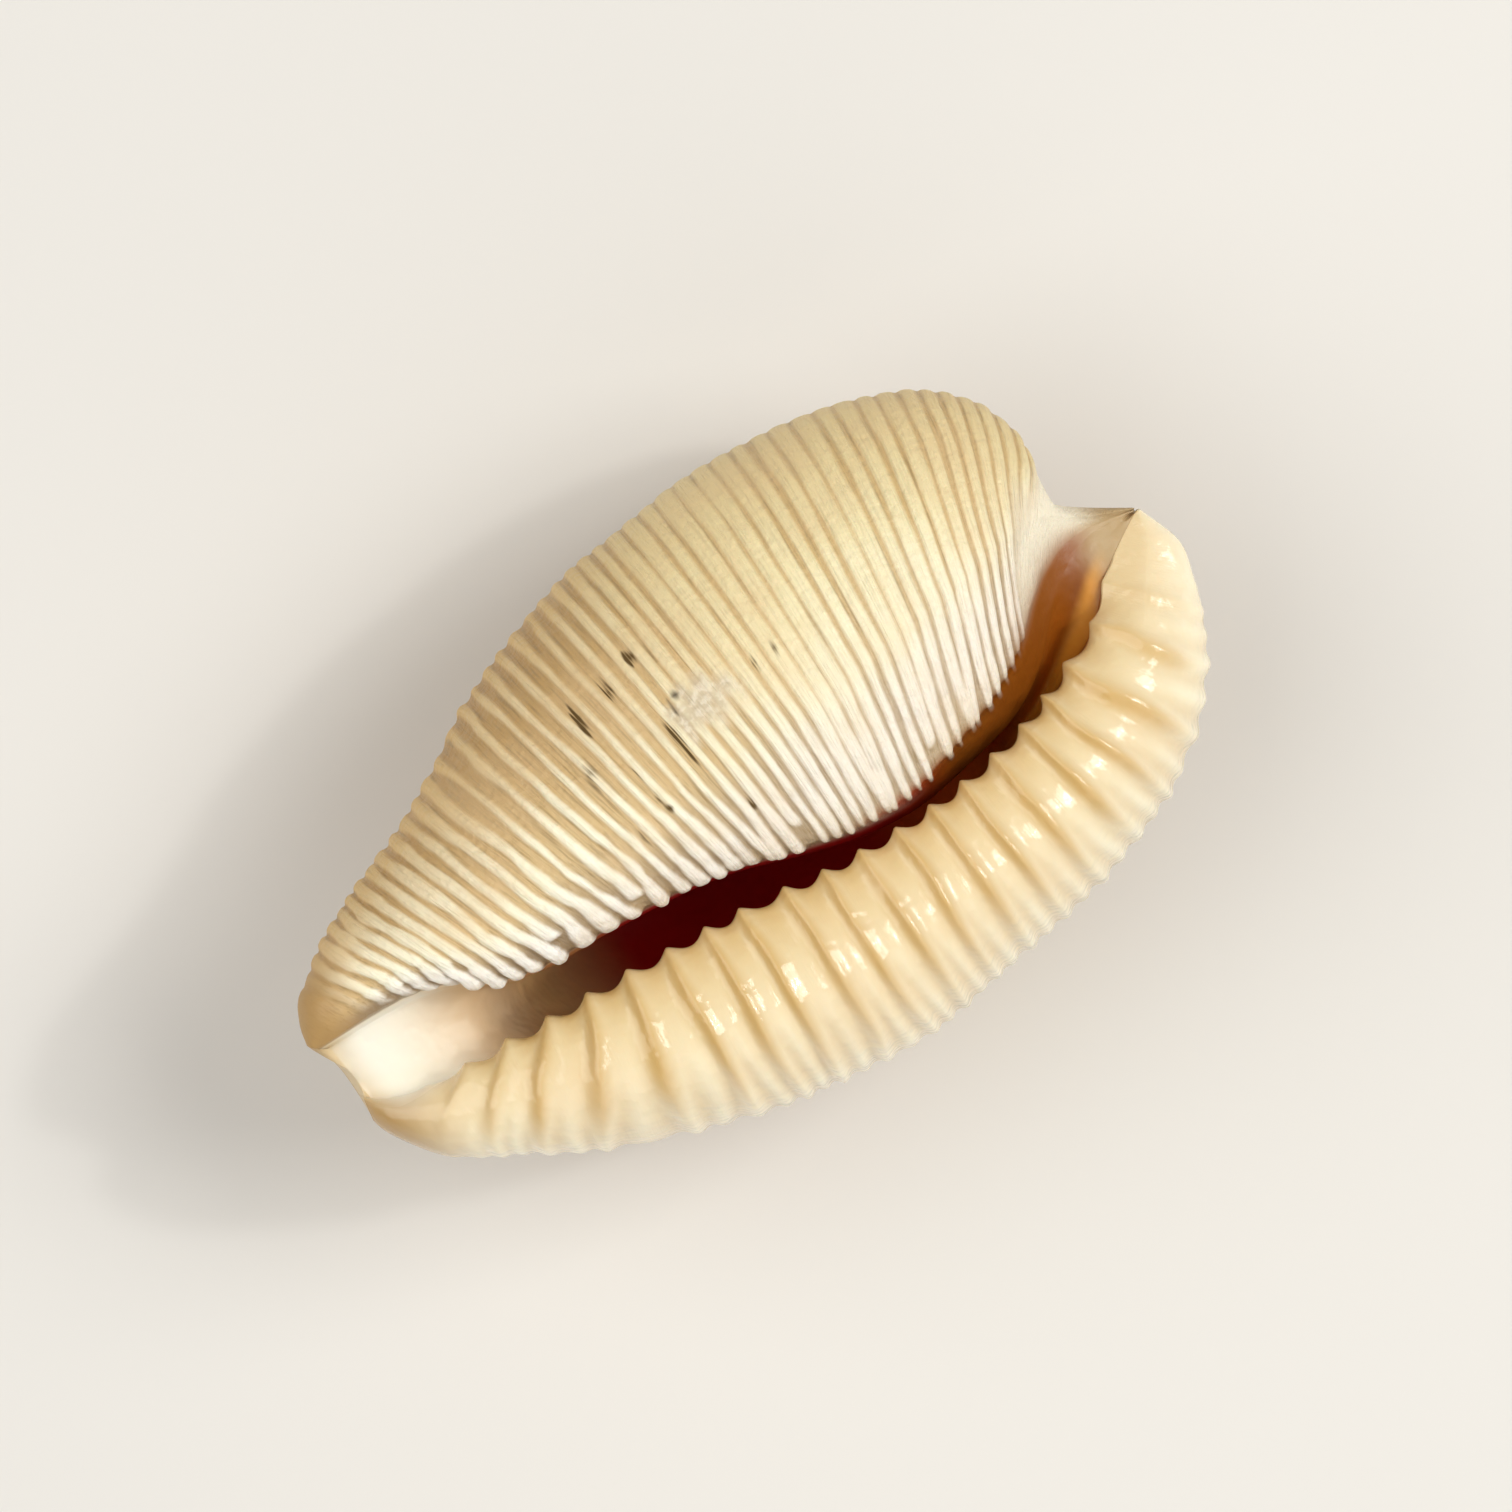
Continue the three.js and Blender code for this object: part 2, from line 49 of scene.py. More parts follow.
# Ribs across the shell, and the teeth of the outer lip.
RIB_COUNT = 60
FIRST_TOOTH_RIB = 3
FRONT_TEETH = 8
FRONT_RIBS_PER_TOOTH = 2
REAR_RIBS_PER_TOOTH = 3
TOOTH_COUNT = 20

# Columns across the shell, from the columella's edge over the back to the lip's edge. The first and the last
# lie inside the aperture.
FIRST_COLUMN = -1
EDGE = 0
CREST = 1
MARGIN = 2
BACK = 3
OUTER_MARGIN = 4
OUTER_CREST = 5
OUTER_EDGE = 6
LAST_COLUMN = 7

# Fineness of the mesh, with the count of columns in each span.
ROWS_PER_RIB = 10
INNER_ROWS = 110
INNER_COLUMNS = 45
INNER_START = 0.014
INNER_END = 0.995
COLUMN_COUNTS = (6, 24, 24, 13, 13, 18, 19, 6)

# Guide curves along the shell: station from front tip to rear tip, x, y, z.
COLUMELLA_EDGE = [
    [0, -14.76, 1.35, 11.4], [0.03, -14, 1.32, 11.9], [0.073, -12.78, 1.26, 12.1],
    [0.128, -11.28, 1.08, 12.3], [0.173, -10.08, 0.57, 12.45], [0.206, -9.18, -0.03, 12.5],
    [0.24, -8.28, -0.36, 12.6], [0.338, -5.58, -0.69, 12.8], [0.482, -1.68, -1.35, 13],
    [0.56, 0.42, -2.07, 13.1], [0.626, 2.22, -2.55, 13.1], [0.692, 4.02, -2.67, 13.1],
    [0.759, 5.82, -2.31, 13.1], [0.847, 8.22, -1.53, 12.9], [0.9, 9.6, -0.7, 12.6],
    [0.93, 10.38, -0.09, 12.3], [0.955, 11.22, 0.42, 11.9], [0.972, 12.06, 0.69, 11.55],
    [0.985, 12.87, 0.69, 11.3], [0.993, 13.5, 0.54, 11.15], [1, 14.36, 0.32, 11],
]
LIP_EDGE = [
    [0, -14.49, -0.57, 11], [0.023, -14.22, -0.87, 11.2], [0.073, -12.93, -1.41, 11.4],
    [0.128, -11.43, -1.65, 11.8], [0.206, -9.18, -1.92, 12.1], [0.338, -5.58, -2.28, 12.5],
    [0.482, -1.68, -2.76, 12.7], [0.56, 0.42, -3.15, 12.8], [0.626, 2.22, -3.36, 12.8],
    [0.692, 4.02, -3.45, 12.8], [0.759, 5.82, -3.39, 12.7], [0.847, 8.22, -2.97, 12.4],
    [0.914, 10.02, -2.34, 12], [0.95, 11.46, -1.71, 11.7], [0.975, 12.57, -0.75, 11.4],
    [0.99, 13.62, -0.15, 11.15], [1, 14.43, 0.27, 11],
]
COLUMELLA_MARGIN = [
    [0, -14.97, 1.62, 11.1], [0.008, -14.88, 2.01, 11], [0.023, -14.64, 2.55, 10.9],
    [0.073, -13.83, 3.21, 10.6], [0.128, -12.63, 3.93, 10.1], [0.206, -10.98, 4.62, 9.5],
    [0.272, -9.24, 5.22, 9], [0.338, -7.53, 5.97, 8.6], [0.4, -5.58, 7.05, 8.3],
    [0.482, -3.24, 7.92, 7.9], [0.56, -0.78, 8.58, 7.6], [0.626, 1.32, 8.76, 7.5],
    [0.692, 3.87, 8.91, 7.5], [0.759, 6.42, 8.67, 7.6], [0.847, 9.66, 7.8, 8],
    [0.914, 11.82, 6.42, 8.9], [0.945, 12.6, 5.22, 9.4], [0.962, 12.84, 4.11, 9.9],
    [0.975, 12.66, 3.1, 10.3], [0.985, 12.36, 2.28, 10.6], [0.99, 12.54, 1.8, 10.65],
    [0.995, 13.32, 1.14, 10.75], [1, 14.4, 0.36, 10.9],
]
LIP_MARGIN = [
    [0, -14.67, -1.38, 10.8], [0.01, -14.58, -1.77, 10.7], [0.035, -13.83, -3.09, 10.5],
    [0.073, -12.93, -3.93, 10.2], [0.128, -11.58, -4.77, 9.8], [0.206, -9.93, -5.85, 9.3],
    [0.272, -8.28, -6.63, 8.9], [0.338, -6.33, -7.44, 8.6], [0.4, -4.38, -8.1, 8.4],
    [0.482, -2.04, -8.58, 8.3], [0.56, 0.27, -8.9, 8.2], [0.626, 2.22, -8.76, 8.2],
    [0.692, 4.02, -8.55, 8.2], [0.759, 6.12, -8.31, 8.4], [0.847, 9.27, -7.56, 8.8],
    [0.9, 11.22, -6.69, 9.3], [0.935, 12.87, -5.37, 9.8], [0.96, 13.92, -3.99, 10.2],
    [0.98, 14.64, -2.43, 10.6], [0.99, 14.94, -1.23, 10.8], [1, 14.52, 0.24, 10.85],
]
BACK_LINE = [
    [0, -14.6, 0.25, 10], [0.03, -14.4, 0, 8.7], [0.073, -13.8, -0.25, 7.1], [0.128, -12.6, -0.4, 5.4],
    [0.206, -10.7, -0.4, 3.45], [0.272, -9, -0.4, 2.2], [0.338, -7.1, -0.4, 1.25],
    [0.4, -5.3, -0.4, 0.65], [0.482, -2.9, -0.4, 0.17], [0.56, -0.5, -0.4, 0], [0.626, 1.6, -0.4, 0.03],
    [0.692, 3.8, -0.4, 0.2], [0.759, 6.1, -0.4, 0.65], [0.847, 9.2, -0.2, 1.9], [0.9, 10.8, 0, 3.5],
    [0.94, 11.7, 0.3, 5.5], [0.97, 12.2, 0.8, 7.7], [0.985, 12.6, 1, 9], [1, 14.3, 0.32, 10.7],
]

# Station, height of the crest of the base and of the crest of the outer lip.
CREST_HEIGHTS = [
    [0, 11.45, 11.2], [0.03, 12, 11.8], [0.073, 12.35, 12.3], [0.13, 12.8, 12.8], [0.25, 13.45, 13.3],
    [0.45, 14.15, 13.6], [0.65, 14.4, 13.6], [0.8, 14.2, 13.4], [0.9, 13.4, 13], [0.96, 12.05, 12.2],
    [0.985, 11.42, 11.5], [1, 11.03, 11.04],
]
BASE_CREST_SHARE = 0.33
LIP_CREST_SHARE = 0.42

# Station, lean and depth of the columella edge, lean and depth of the lip, floor of the canals.
APERTURE = [
    [0, 0.12, 0.35, -0.05, 0.35, 10.75], [0.06, 0.15, 0.6, -0.05, 0.6, 10.8],
    [0.12, 0.2, 0.9, -0.1, 0.9, 10.5], [0.175, 0.2, 1.2, -0.15, 1.2, 9.9],
    [0.25, 0.15, 1.5, -0.2, 1.6, 8.2], [0.35, 0.15, 1.7, -0.2, 2, 5.4],
    [0.5, 0.18, 1.9, -0.2, 2.2, 2.2], [0.62, 0.3, 2.2, -0.2, 2.2, 2.4], [0.7, 0.42, 2.2, -0.25, 2.2, 4],
    [0.78, 0.6, 1.8, -0.3, 2, 7], [0.85, 0.75, 1.3, -0.2, 1.6, 9], [0.91, 0.7, 0.8, -0.1, 1.1, 9.9],
    [0.95, 0.5, 0.35, -0.05, 0.45, 10.95], [0.97, 0.35, 0.1, 0, 0.1, 11.4],
    [0.985, 0.15, 0.02, 0.02, 0.02, 11.24], [1, 0.05, 0.01, 0.01, 0.01, 10.99],
]
# Stations over which the front canal ends, the rear canal begins, and the guide points inside spread evenly.
FRONT_CANAL_END = (0.14, 0.4)
REAR_CANAL_START = (0.7, 0.84)
SOFT_CANAL = (0.78, 0.95)
# Rib number and its station, on the body and on the lip.
BODY_RIB_STATIONS = [
    [0, 0], [3, 0.073], [12, 0.272], [21.5, 0.482], [35, 0.688], [49.8, 0.914], [54.5, 0.962], [60, 1],
]
LIP_RIB_STATIONS = [
    [0, 0], [3, 0.078], [9, 0.226], [19, 0.465], [28, 0.61], [37, 0.745], [46, 0.875], [52, 0.948], [60, 1],
]
# Behind the middle the ribs lean back on their way over the base: rib number, and by how many stations.
RIB_LEAN = [[0, 0], [22, 0], [36, 0.04], [50, 0.045], [60, 0]]
LEAN_COLUMNS = (0, 1.6)
# At the rear tip both edges flatten out into the rim: from and to which station.
LEVEL_RIM = (0.93, 0.975)
# Columns over which the rows cross the back, from those of the body to those of the lip.
BACK_COLUMNS = (MARGIN, OUTER_MARGIN)
# Inside: how far it runs past the rolled edges, and where its guide points sit between edge and margin.
INSIDE_OVERLAP = 1.3
GUIDE_SPANS = 6
LONGEST_WALL_SHARE = 0.5
BASE_INSIDE_SHARE = 0.42
LIP_INSIDE_SHARE = 0.3
BODY_INSIDE_RISE = 0.4
LIP_INSIDE_DROP = 1.8


def lerp(a, b, share):
    return a + (b - a) * share


def smooth(value, low, high):
    share = np.clip((value - low) / (high - low), 0, 1)
    return share * share * (3 - 2 * share)


def guide(rows):
    """Smooth curve through rows of a station and its values, as a function of an array of stations."""
    table = np.array(rows, dtype=float)
    stations, values = table[:, 0], table[:, 1:]
    spans = np.diff(stations)
    rises = np.diff(values, axis=0) / spans[:, None]
    slopes = np.empty_like(values)
    slopes[0], slopes[-1] = rises[0], rises[-1]
    weights = spans[:, None]
    slopes[1:-1] = (rises[:-1] * weights[1:] + rises[1:] * weights[:-1]) / (weights[:-1] + weights[1:])

    def curve(station):
        station = np.asarray(station, dtype=float)
        i = np.clip(np.searchsorted(stations, station, side="right") - 1, 0, len(spans) - 1)
        s = ((station - stations[i]) / spans[i])[..., None]
        leave = s * (1 - s) ** 2 * weights[i] * slopes[i]
        arrive = s * s * (1 - s) * weights[i] * slopes[i + 1]
        return lerp(values[i], values[i + 1], s * s * (3 - 2 * s)) + leave - arrive

    return curve


columella_edge = guide(COLUMELLA_EDGE)
lip_edge = guide(LIP_EDGE)
columella_margin = guide(COLUMELLA_MARGIN)
lip_margin = guide(LIP_MARGIN)
back_line = guide(BACK_LINE)
crest_heights = guide(CREST_HEIGHTS)
aperture = guide(APERTURE)
body_rib_station = guide(BODY_RIB_STATIONS)
lip_rib_station = guide(LIP_RIB_STATIONS)
rib_lean = guide(RIB_LEAN)


def between(start, end, share, height):
    """Point between two others in plan, with a height of its own."""
    point = lerp(start, end, share)
    point[..., 2] = height
    return point


def quarter_arc(upright, level, share):
    """Quarter-ellipse across the shell, from an upright end to a level one."""
    turn = share * math.pi / 2
    point = lerp(upright, level, 1 - math.cos(turn))
    point[..., 2] = lerp(upright[..., 2], level[..., 2], math.sin(turn))
    return point


def back_arc(margin, back, share):
    """The back bows out to full width sooner than it swings forward or aft."""
    point = quarter_arc(margin, back, share)
    point[..., 0] = lerp(margin[..., 0], back[..., 0], math.sin(share * math.pi / 2) ** 2)
    return point


def plain_outside(station, column):
    """Outside of the shell without its ribs, for an array of stations and one column."""
    heights = crest_heights(station)
    rolls = aperture(station)
    level = smooth(station, *LEVEL_RIM)[..., None]
    if column < BACK:
        edge, margin = columella_edge(station), columella_margin(station)
        crest = between(edge, margin, BASE_CREST_SHARE, heights[..., 0])
        if column < EDGE:
            edge[..., 1] += rolls[..., 0] * column
            edge[..., 2] += rolls[..., 1] * column
            return edge
        if column < CREST:
            return lerp(quarter_arc(edge, crest, column), lerp(edge, crest, column), level)
        if column < MARGIN:
            return quarter_arc(margin, crest, MARGIN - column)
        return back_arc(margin, back_line(station), column - MARGIN)
    edge, margin = lip_edge(station), lip_margin(station)
    crest = between(edge, margin, LIP_CREST_SHARE, heights[..., 1])
    if column > OUTER_EDGE:
        edge[..., 1] += rolls[..., 2] * (column - OUTER_EDGE)
        edge[..., 2] -= rolls[..., 3] * (column - OUTER_EDGE)
        return edge
    if column > OUTER_CREST:
        share = OUTER_EDGE - column
        return lerp(quarter_arc(edge, crest, share), lerp(edge, crest, share), level)
    if column > OUTER_MARGIN:
        return quarter_arc(margin, crest, column - OUTER_MARGIN)
    return back_arc(margin, back_line(station), OUTER_MARGIN - column)


def station_of(rib, column):
    """Rib rows follow the columella side up to its margin, then drift over the back to the lip side."""
    lean = rib_lean(rib)[..., 0] * smooth(column, *LEAN_COLUMNS)
    across = smooth(column, *BACK_COLUMNS)
    return lerp(body_rib_station(rib)[..., 0] + lean, lip_rib_station(rib)[..., 0], across)


def inside_margin(margin, edge, wall, height):
    """Point a wall's thickness inside a margin, towards the edge on the same side."""
    reach = np.hypot(edge[..., 0] - margin[..., 0], edge[..., 1] - margin[..., 1])
    return between(margin, edge, np.minimum(wall / reach, LONGEST_WALL_SHARE)[..., None], height)


def inside_guides(station):
    """Guide points across the inside at each station, from under the columella edge to under the lip."""
    edge, margin = columella_edge(station), columella_margin(station)
    outer_edge, outer_margin = lip_edge(station), lip_margin(station)
    back, heights, rolls = back_line(station), crest_heights(station), aperture(station)
    start, end = edge.copy(), outer_edge.copy()
    start[..., 1] -= rolls[..., 0] * INSIDE_OVERLAP
    start[..., 2] -= rolls[..., 1] * INSIDE_OVERLAP
    end[..., 1] += rolls[..., 2] * INSIDE_OVERLAP
    end[..., 2] -= rolls[..., 3] * INSIDE_OVERLAP
    back[..., 2] += BACK_WALL
    hollow = [
        start,
        between(edge, margin, BASE_INSIDE_SHARE, heights[..., 0] - BASE_THICKNESS),
        inside_margin(margin, edge, BODY_WALL, margin[..., 2] + BODY_INSIDE_RISE),
        back,
        inside_margin(outer_margin, outer_edge, LIP_WALL, outer_margin[..., 2] - LIP_INSIDE_DROP),
        between(outer_edge, outer_margin, LIP_INSIDE_SHARE, heights[..., 1] - LIP_THICKNESS),
        end,
    ]
    opening = smooth(station, *FRONT_CANAL_END) * (1 - smooth(station, *REAR_CANAL_START))
    soft = smooth(station, *SOFT_CANAL)
    guides = []
    for k, point in enumerate(hollow):
        turn = math.pi * k / GUIDE_SPANS
        share = lerp((1 - math.cos(turn)) / 2, k / GUIDE_SPANS, soft)
        rim = lerp(start[..., 2], end[..., 2], share)
        sag = (rolls[..., 4] - (start[..., 2] + end[..., 2]) / 2) * math.sin(turn)
        guides.append(lerp(between(start, end, share[..., None], rim + sag), point, opening[..., None]))
    return np.stack(guides, axis=-2)


def inside_point(guides, column):
    """Point on a Catmull-Rom curve through the guide points of every station."""
    last = GUIDE_SPANS - 1
    k = min(int(column), last)
    s = column - k
    before = guides[:, k - 1] if k > 0 else 2 * guides[:, 0] - guides[:, 1]
    after = guides[:, k + 2] if k < last else 2 * guides[:, last + 1] - guides[:, last]
    start, end = guides[:, k], guides[:, k + 1]
    leave, arrive = (end - before) / 2, (after - start) / 2
    hermite = lerp(start, end, s * s * (3 - 2 * s))
    return hermite + s * (1 - s) ** 2 * leave - s * s * (1 - s) * arrive


LATTICE = 64


def lattice_noise(seed, x, y):
    """Smooth random field from -1 to 1 with one random value at each whole x and y."""
    values = np.random.default_rng(seed).uniform(-1, 1, (LATTICE, LATTICE))
    x, y = np.broadcast_arrays(np.asarray(x, dtype=float), np.asarray(y, dtype=float))
    i, j = np.floor(x).astype(int), np.floor(y).astype(int)
    u, v = smooth(x - i, 0, 1), smooth(y - j, 0, 1)
    near_i, far_i = i % LATTICE, (i + 1) % LATTICE
    near_j, far_j = j % LATTICE, (j + 1) % LATTICE
    low = lerp(values[near_i, near_j], values[far_i, near_j], u)
    high = lerp(values[near_i, far_j], values[far_i, far_j], u)
    return lerp(low, high, v)


# Random wanders: seed, reach, and random values along each of two directions.
SHARED_WANDER = (3, 0.17, 0.16, 2.1)
OWN_WANDER = (4, 0.09, 1.0, 3.3)
FINE_WANDER = (14, 0.045, 1.0, 11)
RIB_SWELL = (15, 0.16, 1.0, 6)
RIDGE_SWAY = (13, 0.1, 0.9, 1.7)
FINE_RIDGE_SWAY = (16, 0.02, 2, 4)
RIDGE_SPREAD = (17, 0.3, 1.7, 2)
RAGGED_PATCH = (8, 0.3, 4, 4)
CRUMBS = (9, 0.07, 4, 5)
FINE_CRUMBS = (10, 0.05, 9, 10)
DIRT_SPECKLE = (12, 0.5, 12, 4)


def wander(kind, x, y):
    seed, reach, x_steps, y_steps = kind
    return reach * lattice_noise(seed, x * x_steps, y * y_steps)


# Smooth callus at the rear of the base: station, and the column up to which it covers the ribs.
CALLUS_START = 0.88
CALLUS_BLEND = 0.25
callus_column = guide([[CALLUS_START, -0.4], [0.9, 0.35], [0.935, 1], [0.97, 1.5], [0.985, 2.3], [1, 3]])


def callus(station, column):
    """1 under the callus, 0 where the ribs stand free."""
    limit = callus_column(np.maximum(station, CALLUS_START))[..., 0]
    return smooth(limit - column, -CALLUS_BLEND, CALLUS_BLEND)


# What makes each rib its own: its height, its width, and how far its end stands out at the aperture.
SPREAD_SEED = 21
BROKEN_RIBS = slice(8, 10)
BROKEN_END = 1.4
HEIGHT_RANGE = (0.75, 1.2)
WIDTH_RANGE = (0.85, 1.2)
END_RANGE = (0.7, 1.2)
random = np.random.default_rng(SPREAD_SEED)
RIB_HEIGHT_SPREAD = random.uniform(*HEIGHT_RANGE, RIB_COUNT + 1)
RIB_WIDTH_SPREAD = random.uniform(*WIDTH_RANGE, RIB_COUNT + 1)
RIB_END_SPREAD = random.uniform(*END_RANGE, RIB_COUNT + 1)
RIB_END_SPREAD[BROKEN_RIBS] = BROKEN_END
# Pairs of ribs that join at the aperture, and ribs that stop short of it at the given column.
FORK_REACH = 0.27
FORKED_PAIRS = ((12, 14), (16, 18), (24, 25), (33, 34), (41, 42), (50, 51))
SHORT_RIBS = {13: 0.42, 17: 0.3, 27: 0.35, 38: 0.3}
SHORT_TIP = 0.12
FORK_COLUMNS = (0.1, 0.75)
FORK = np.zeros(RIB_COUNT + 1)
WHOLE_RIB = -2.0
RIB_TIPS = np.full(RIB_COUNT + 1, WHOLE_RIB)
for first, second in FORKED_PAIRS:
    FORK[first] = FORK_REACH
    FORK[second] = -FORK_REACH
for short, tip in SHORT_RIBS.items():
    RIB_TIPS[short] = tip

# Behind the front teeth, two of the three ribs of each tooth merge on the way over the back.
LAST_FRONT_RIB = FIRST_TOOTH_RIB + FRONT_RIBS_PER_TOOTH * FRONT_TEETH
MERGE = np.zeros(RIB_COUNT + 1)
MERGE_REACH = 0.5
MERGE[LAST_FRONT_RIB + 1::REAR_RIBS_PER_TOOTH] = MERGE_REACH
MERGE[LAST_FRONT_RIB + 2::REAR_RIBS_PER_TOOTH] = -MERGE_REACH
MERGE_COLUMNS = (2.5, 3.7)

# Column, height of the body's ribs in millimetres, and their width as a share of their spacing.
body_rib_form = guide([
    [-1, 0, 0.44], [-0.5, 0.08, 0.44], [0, 0.2, 0.45], [0.25, 0.2, 0.42], [0.6, 0.17, 0.31],
    [1, 0.15, 0.24], [1.5, 0.12, 0.22], [2, 0.11, 0.3], [3, 0.1, 0.3], [4, 0.15, 0.3],
])
# Behind the middle the ribs taper to thin tips at the aperture: stations, columns, and how thin.
TAPER_STATIONS = (0.52, 0.66)
TAPER_COLUMNS = (0.5, -0.1)
TAPER_WIDTH = 0.24
TAPER_HEIGHT = 0.5
REAR_RIB_SHARE = 0.7
# Width and flatness of slender and broad ribs, and the stations between which they are slender.
SLENDER_RIB = 0.22
BROAD_RIB = 0.4
SLENDER_FLATNESS = 2.0
BROAD_FLATNESS = 3.6
SLENDER_START = (0.22, 0.36)
SLENDER_END = (0.5, 0.66)
# Where the ribs fade in and out: stations of the plain edge, rib numbers at both ends.
PLAIN_EDGE_END = (0.06, 0.19)
FIRST_RIBS = (1, 5)
LAST_RIBS = (RIB_COUNT - 3, RIB_COUNT)
# Where the ribs wander freely, and where those of the rear are low.
FREE_START = (-0.2, 0.5)
FREE_END = (3.0, 4.0)
LOW_STATIONS = (0.45, 0.7)
LOW_COLUMNS = (0.1, 0.6)
END_COLUMNS = (0, 0.5)
# The rear ribs run straighter than the front ones: this share of their wobble.
STEADY_REAR = 0.5
STEADY_STATIONS = (0.45, 0.6)
# Column, height of the lip's ridges, of the ribs between them, and of the teeth.
lip_rib_form = guide([
    [3.2, 0, 0.12, 0], [4, 0.05, 0.13, 0], [4.5, 0.12, 0.1, 0], [5, 0.17, 0.04, 0.02],
    [5.6, 0.17, 0, 0.1], [6, 0.06, 0, 0.3], [6.5, 0, 0, 0.2], [7, 0, 0, 0],
])
# Columns over which the body's ribs turn into the lip's.
LIP_RIB_COLUMNS = (3.3, OUTER_MARGIN)
# Each ridge of the lip slopes gently to the rear and drops steeply to the groove in front of it.
RIDGE_SLOPE_SHARE = 0.66
# Ridges of the front of the lip run obliquely: how many teeth they shift by from edge to margin.
FRONT_RIDGE_LEAN = 1.5
LEANING_TEETH = (1, 6)
LEAN_REACH = (0, 1.7)
# Teeth: how much of each cusp lies under the plain edge, and how blunt the cusps and the crests are.
TOOTH_CUT = 0.4
TOOTH_ROUNDING = 0.01
CREST_ROUNDING = 0.14
# Teeth over which the row fades in and out, and columns at which the ridges stop swaying.
FIRST_TEETH = (-1.2, 2.5)
LAST_TEETH = (TOOTH_COUNT - 2, TOOTH_COUNT + 1)
STILL_COLUMNS = (5.3, 5.9)
# The tan band covers a ridge's crest and the steep flank in front of it: its middle and its reach. On the
# crest it is the lip's own tan, on the steep flank it is painted shade where the flank turns away from the
# light.
TAN_AND_SHADE_MIDDLE = 0.92
TAN_AND_SHADE_REACH = 0.2
TAN_AND_SHADE_COLUMNS = (4.2, 4.9)
GROOVE_TAN = 0.4
GROOVE_TAN_END = (4.4, 5.1)
# Columns over which the hollows between the teeth are painted darker: painted shade where the lip curves
# down.
HOLLOW_SHADE_COLUMNS = (5.1, 5.9)


def flank(share):
    """Side of a ridge, from 1 on its rounded crest to 0 in the hollow beside it."""
    whole = math.hypot(1, CREST_ROUNDING) - CREST_ROUNDING
    away = (np.hypot(share, CREST_ROUNDING) - CREST_ROUNDING) / whole
    return (1 - away) ** 2


def tooth_position(rib):
    front = (rib - FIRST_TOOTH_RIB) / FRONT_RIBS_PER_TOOTH
    rear = FRONT_TEETH + (rib - LAST_FRONT_RIB) / REAR_RIBS_PER_TOOTH
    return np.where(rib < LAST_FRONT_RIB, front, rear)


def body_ribs(rib, column, heights, width, steady):
    """Highest of the three nearest ribs at each point. Broad ribs are flatter."""
    flatness = lerp(SLENDER_FLATNESS, BROAD_FLATNESS, smooth(width, SLENDER_RIB, BROAD_RIB))
    nearest = np.round(rib).astype(int)
    top = np.zeros_like(rib)
    free = steady * smooth(column, *FREE_START) * (1 - smooth(column, *FREE_END))
    merged = smooth(column, *MERGE_COLUMNS)
    for step in (-1, 0, 1):
        k = np.clip(nearest + step, 0, RIB_COUNT)
        wobble = sum(wander(kind, k, column) for kind in (SHARED_WANDER, OWN_WANDER, FINE_WANDER))
        crest = k + free * wobble
        crest += FORK[k] * (1 - smooth(column, *FORK_COLUMNS)) + MERGE[k] * merged
        swell = 1 + free * wander(RIB_SWELL, k, column)
        across = (rib - crest) / (width * RIB_WIDTH_SPREAD[k] * swell)
        tip = smooth(column, RIB_TIPS[k], RIB_TIPS[k] + SHORT_TIP)
        top = np.maximum(top, tip * swell * heights[k] * np.exp(-np.abs(across) ** flatness))
    return top


def lip_relief(rib, column):
    """Height of the lip's ridges, ribs and teeth, and how much of a point is out of the tan bands, partly
    painted shade.
    """
    ridge_height, rib_height, tooth_height = lip_rib_form(column)
    tooth = tooth_position(rib)
    ends = smooth(tooth, *FIRST_TEETH) * (1 - smooth(tooth, *LAST_TEETH))
    sway = 1 - smooth(column, *STILL_COLUMNS)
    swayed = tooth + sway * (wander(RIDGE_SWAY, tooth, column) + wander(FINE_RIDGE_SWAY, tooth, column))
    leaning = (1 - smooth(tooth, *LEANING_TEETH)) * smooth(OUTER_EDGE - column, *LEAN_REACH)
    swayed = swayed + FRONT_RIDGE_LEAN * leaning
    part = swayed - np.floor(swayed)
    gentle, steep = part / RIDGE_SLOPE_SHARE, (1 - part) / (1 - RIDGE_SLOPE_SHARE)
    ridge = flank(np.where(part < RIDGE_SLOPE_SHARE, gentle, steep))
    ribs = np.cos(2 * np.pi * swayed) ** 2
    each = 1 + wander(RIDGE_SPREAD, swayed, column)
    cusp = 1 - np.sqrt(np.sin(np.pi * (tooth - np.round(tooth))) ** 2 + TOOTH_ROUNDING)
    height = each * (ridge_height * ridge + rib_height * ribs) + tooth_height * (cusp - TOOTH_CUT)
    from_tan = np.minimum(np.abs(part - TAN_AND_SHADE_MIDDLE), np.abs(part + 1 - TAN_AND_SHADE_MIDDLE))
    # Tan band: the lip's own tan on the crest, and painted shade on the steep flank that faces away from the
    # light.
    tan = np.exp(-(from_tan / TAN_AND_SHADE_REACH) ** 2) * smooth(column, *TAN_AND_SHADE_COLUMNS)
    between_ribs = GROOVE_TAN * (1 - ribs) * (1 - smooth(column, *GROOVE_TAN_END))
    # Painted shade in the hollows between the teeth, near the edge where the lip curves down into the
    # aperture.
    hollow_shade = (1 - np.clip(cusp, 0, 1)) * smooth(column, *HOLLOW_SHADE_COLUMNS)
    return ends * height, 1 - ends * np.maximum(np.maximum(tan, between_ribs), hollow_shade)


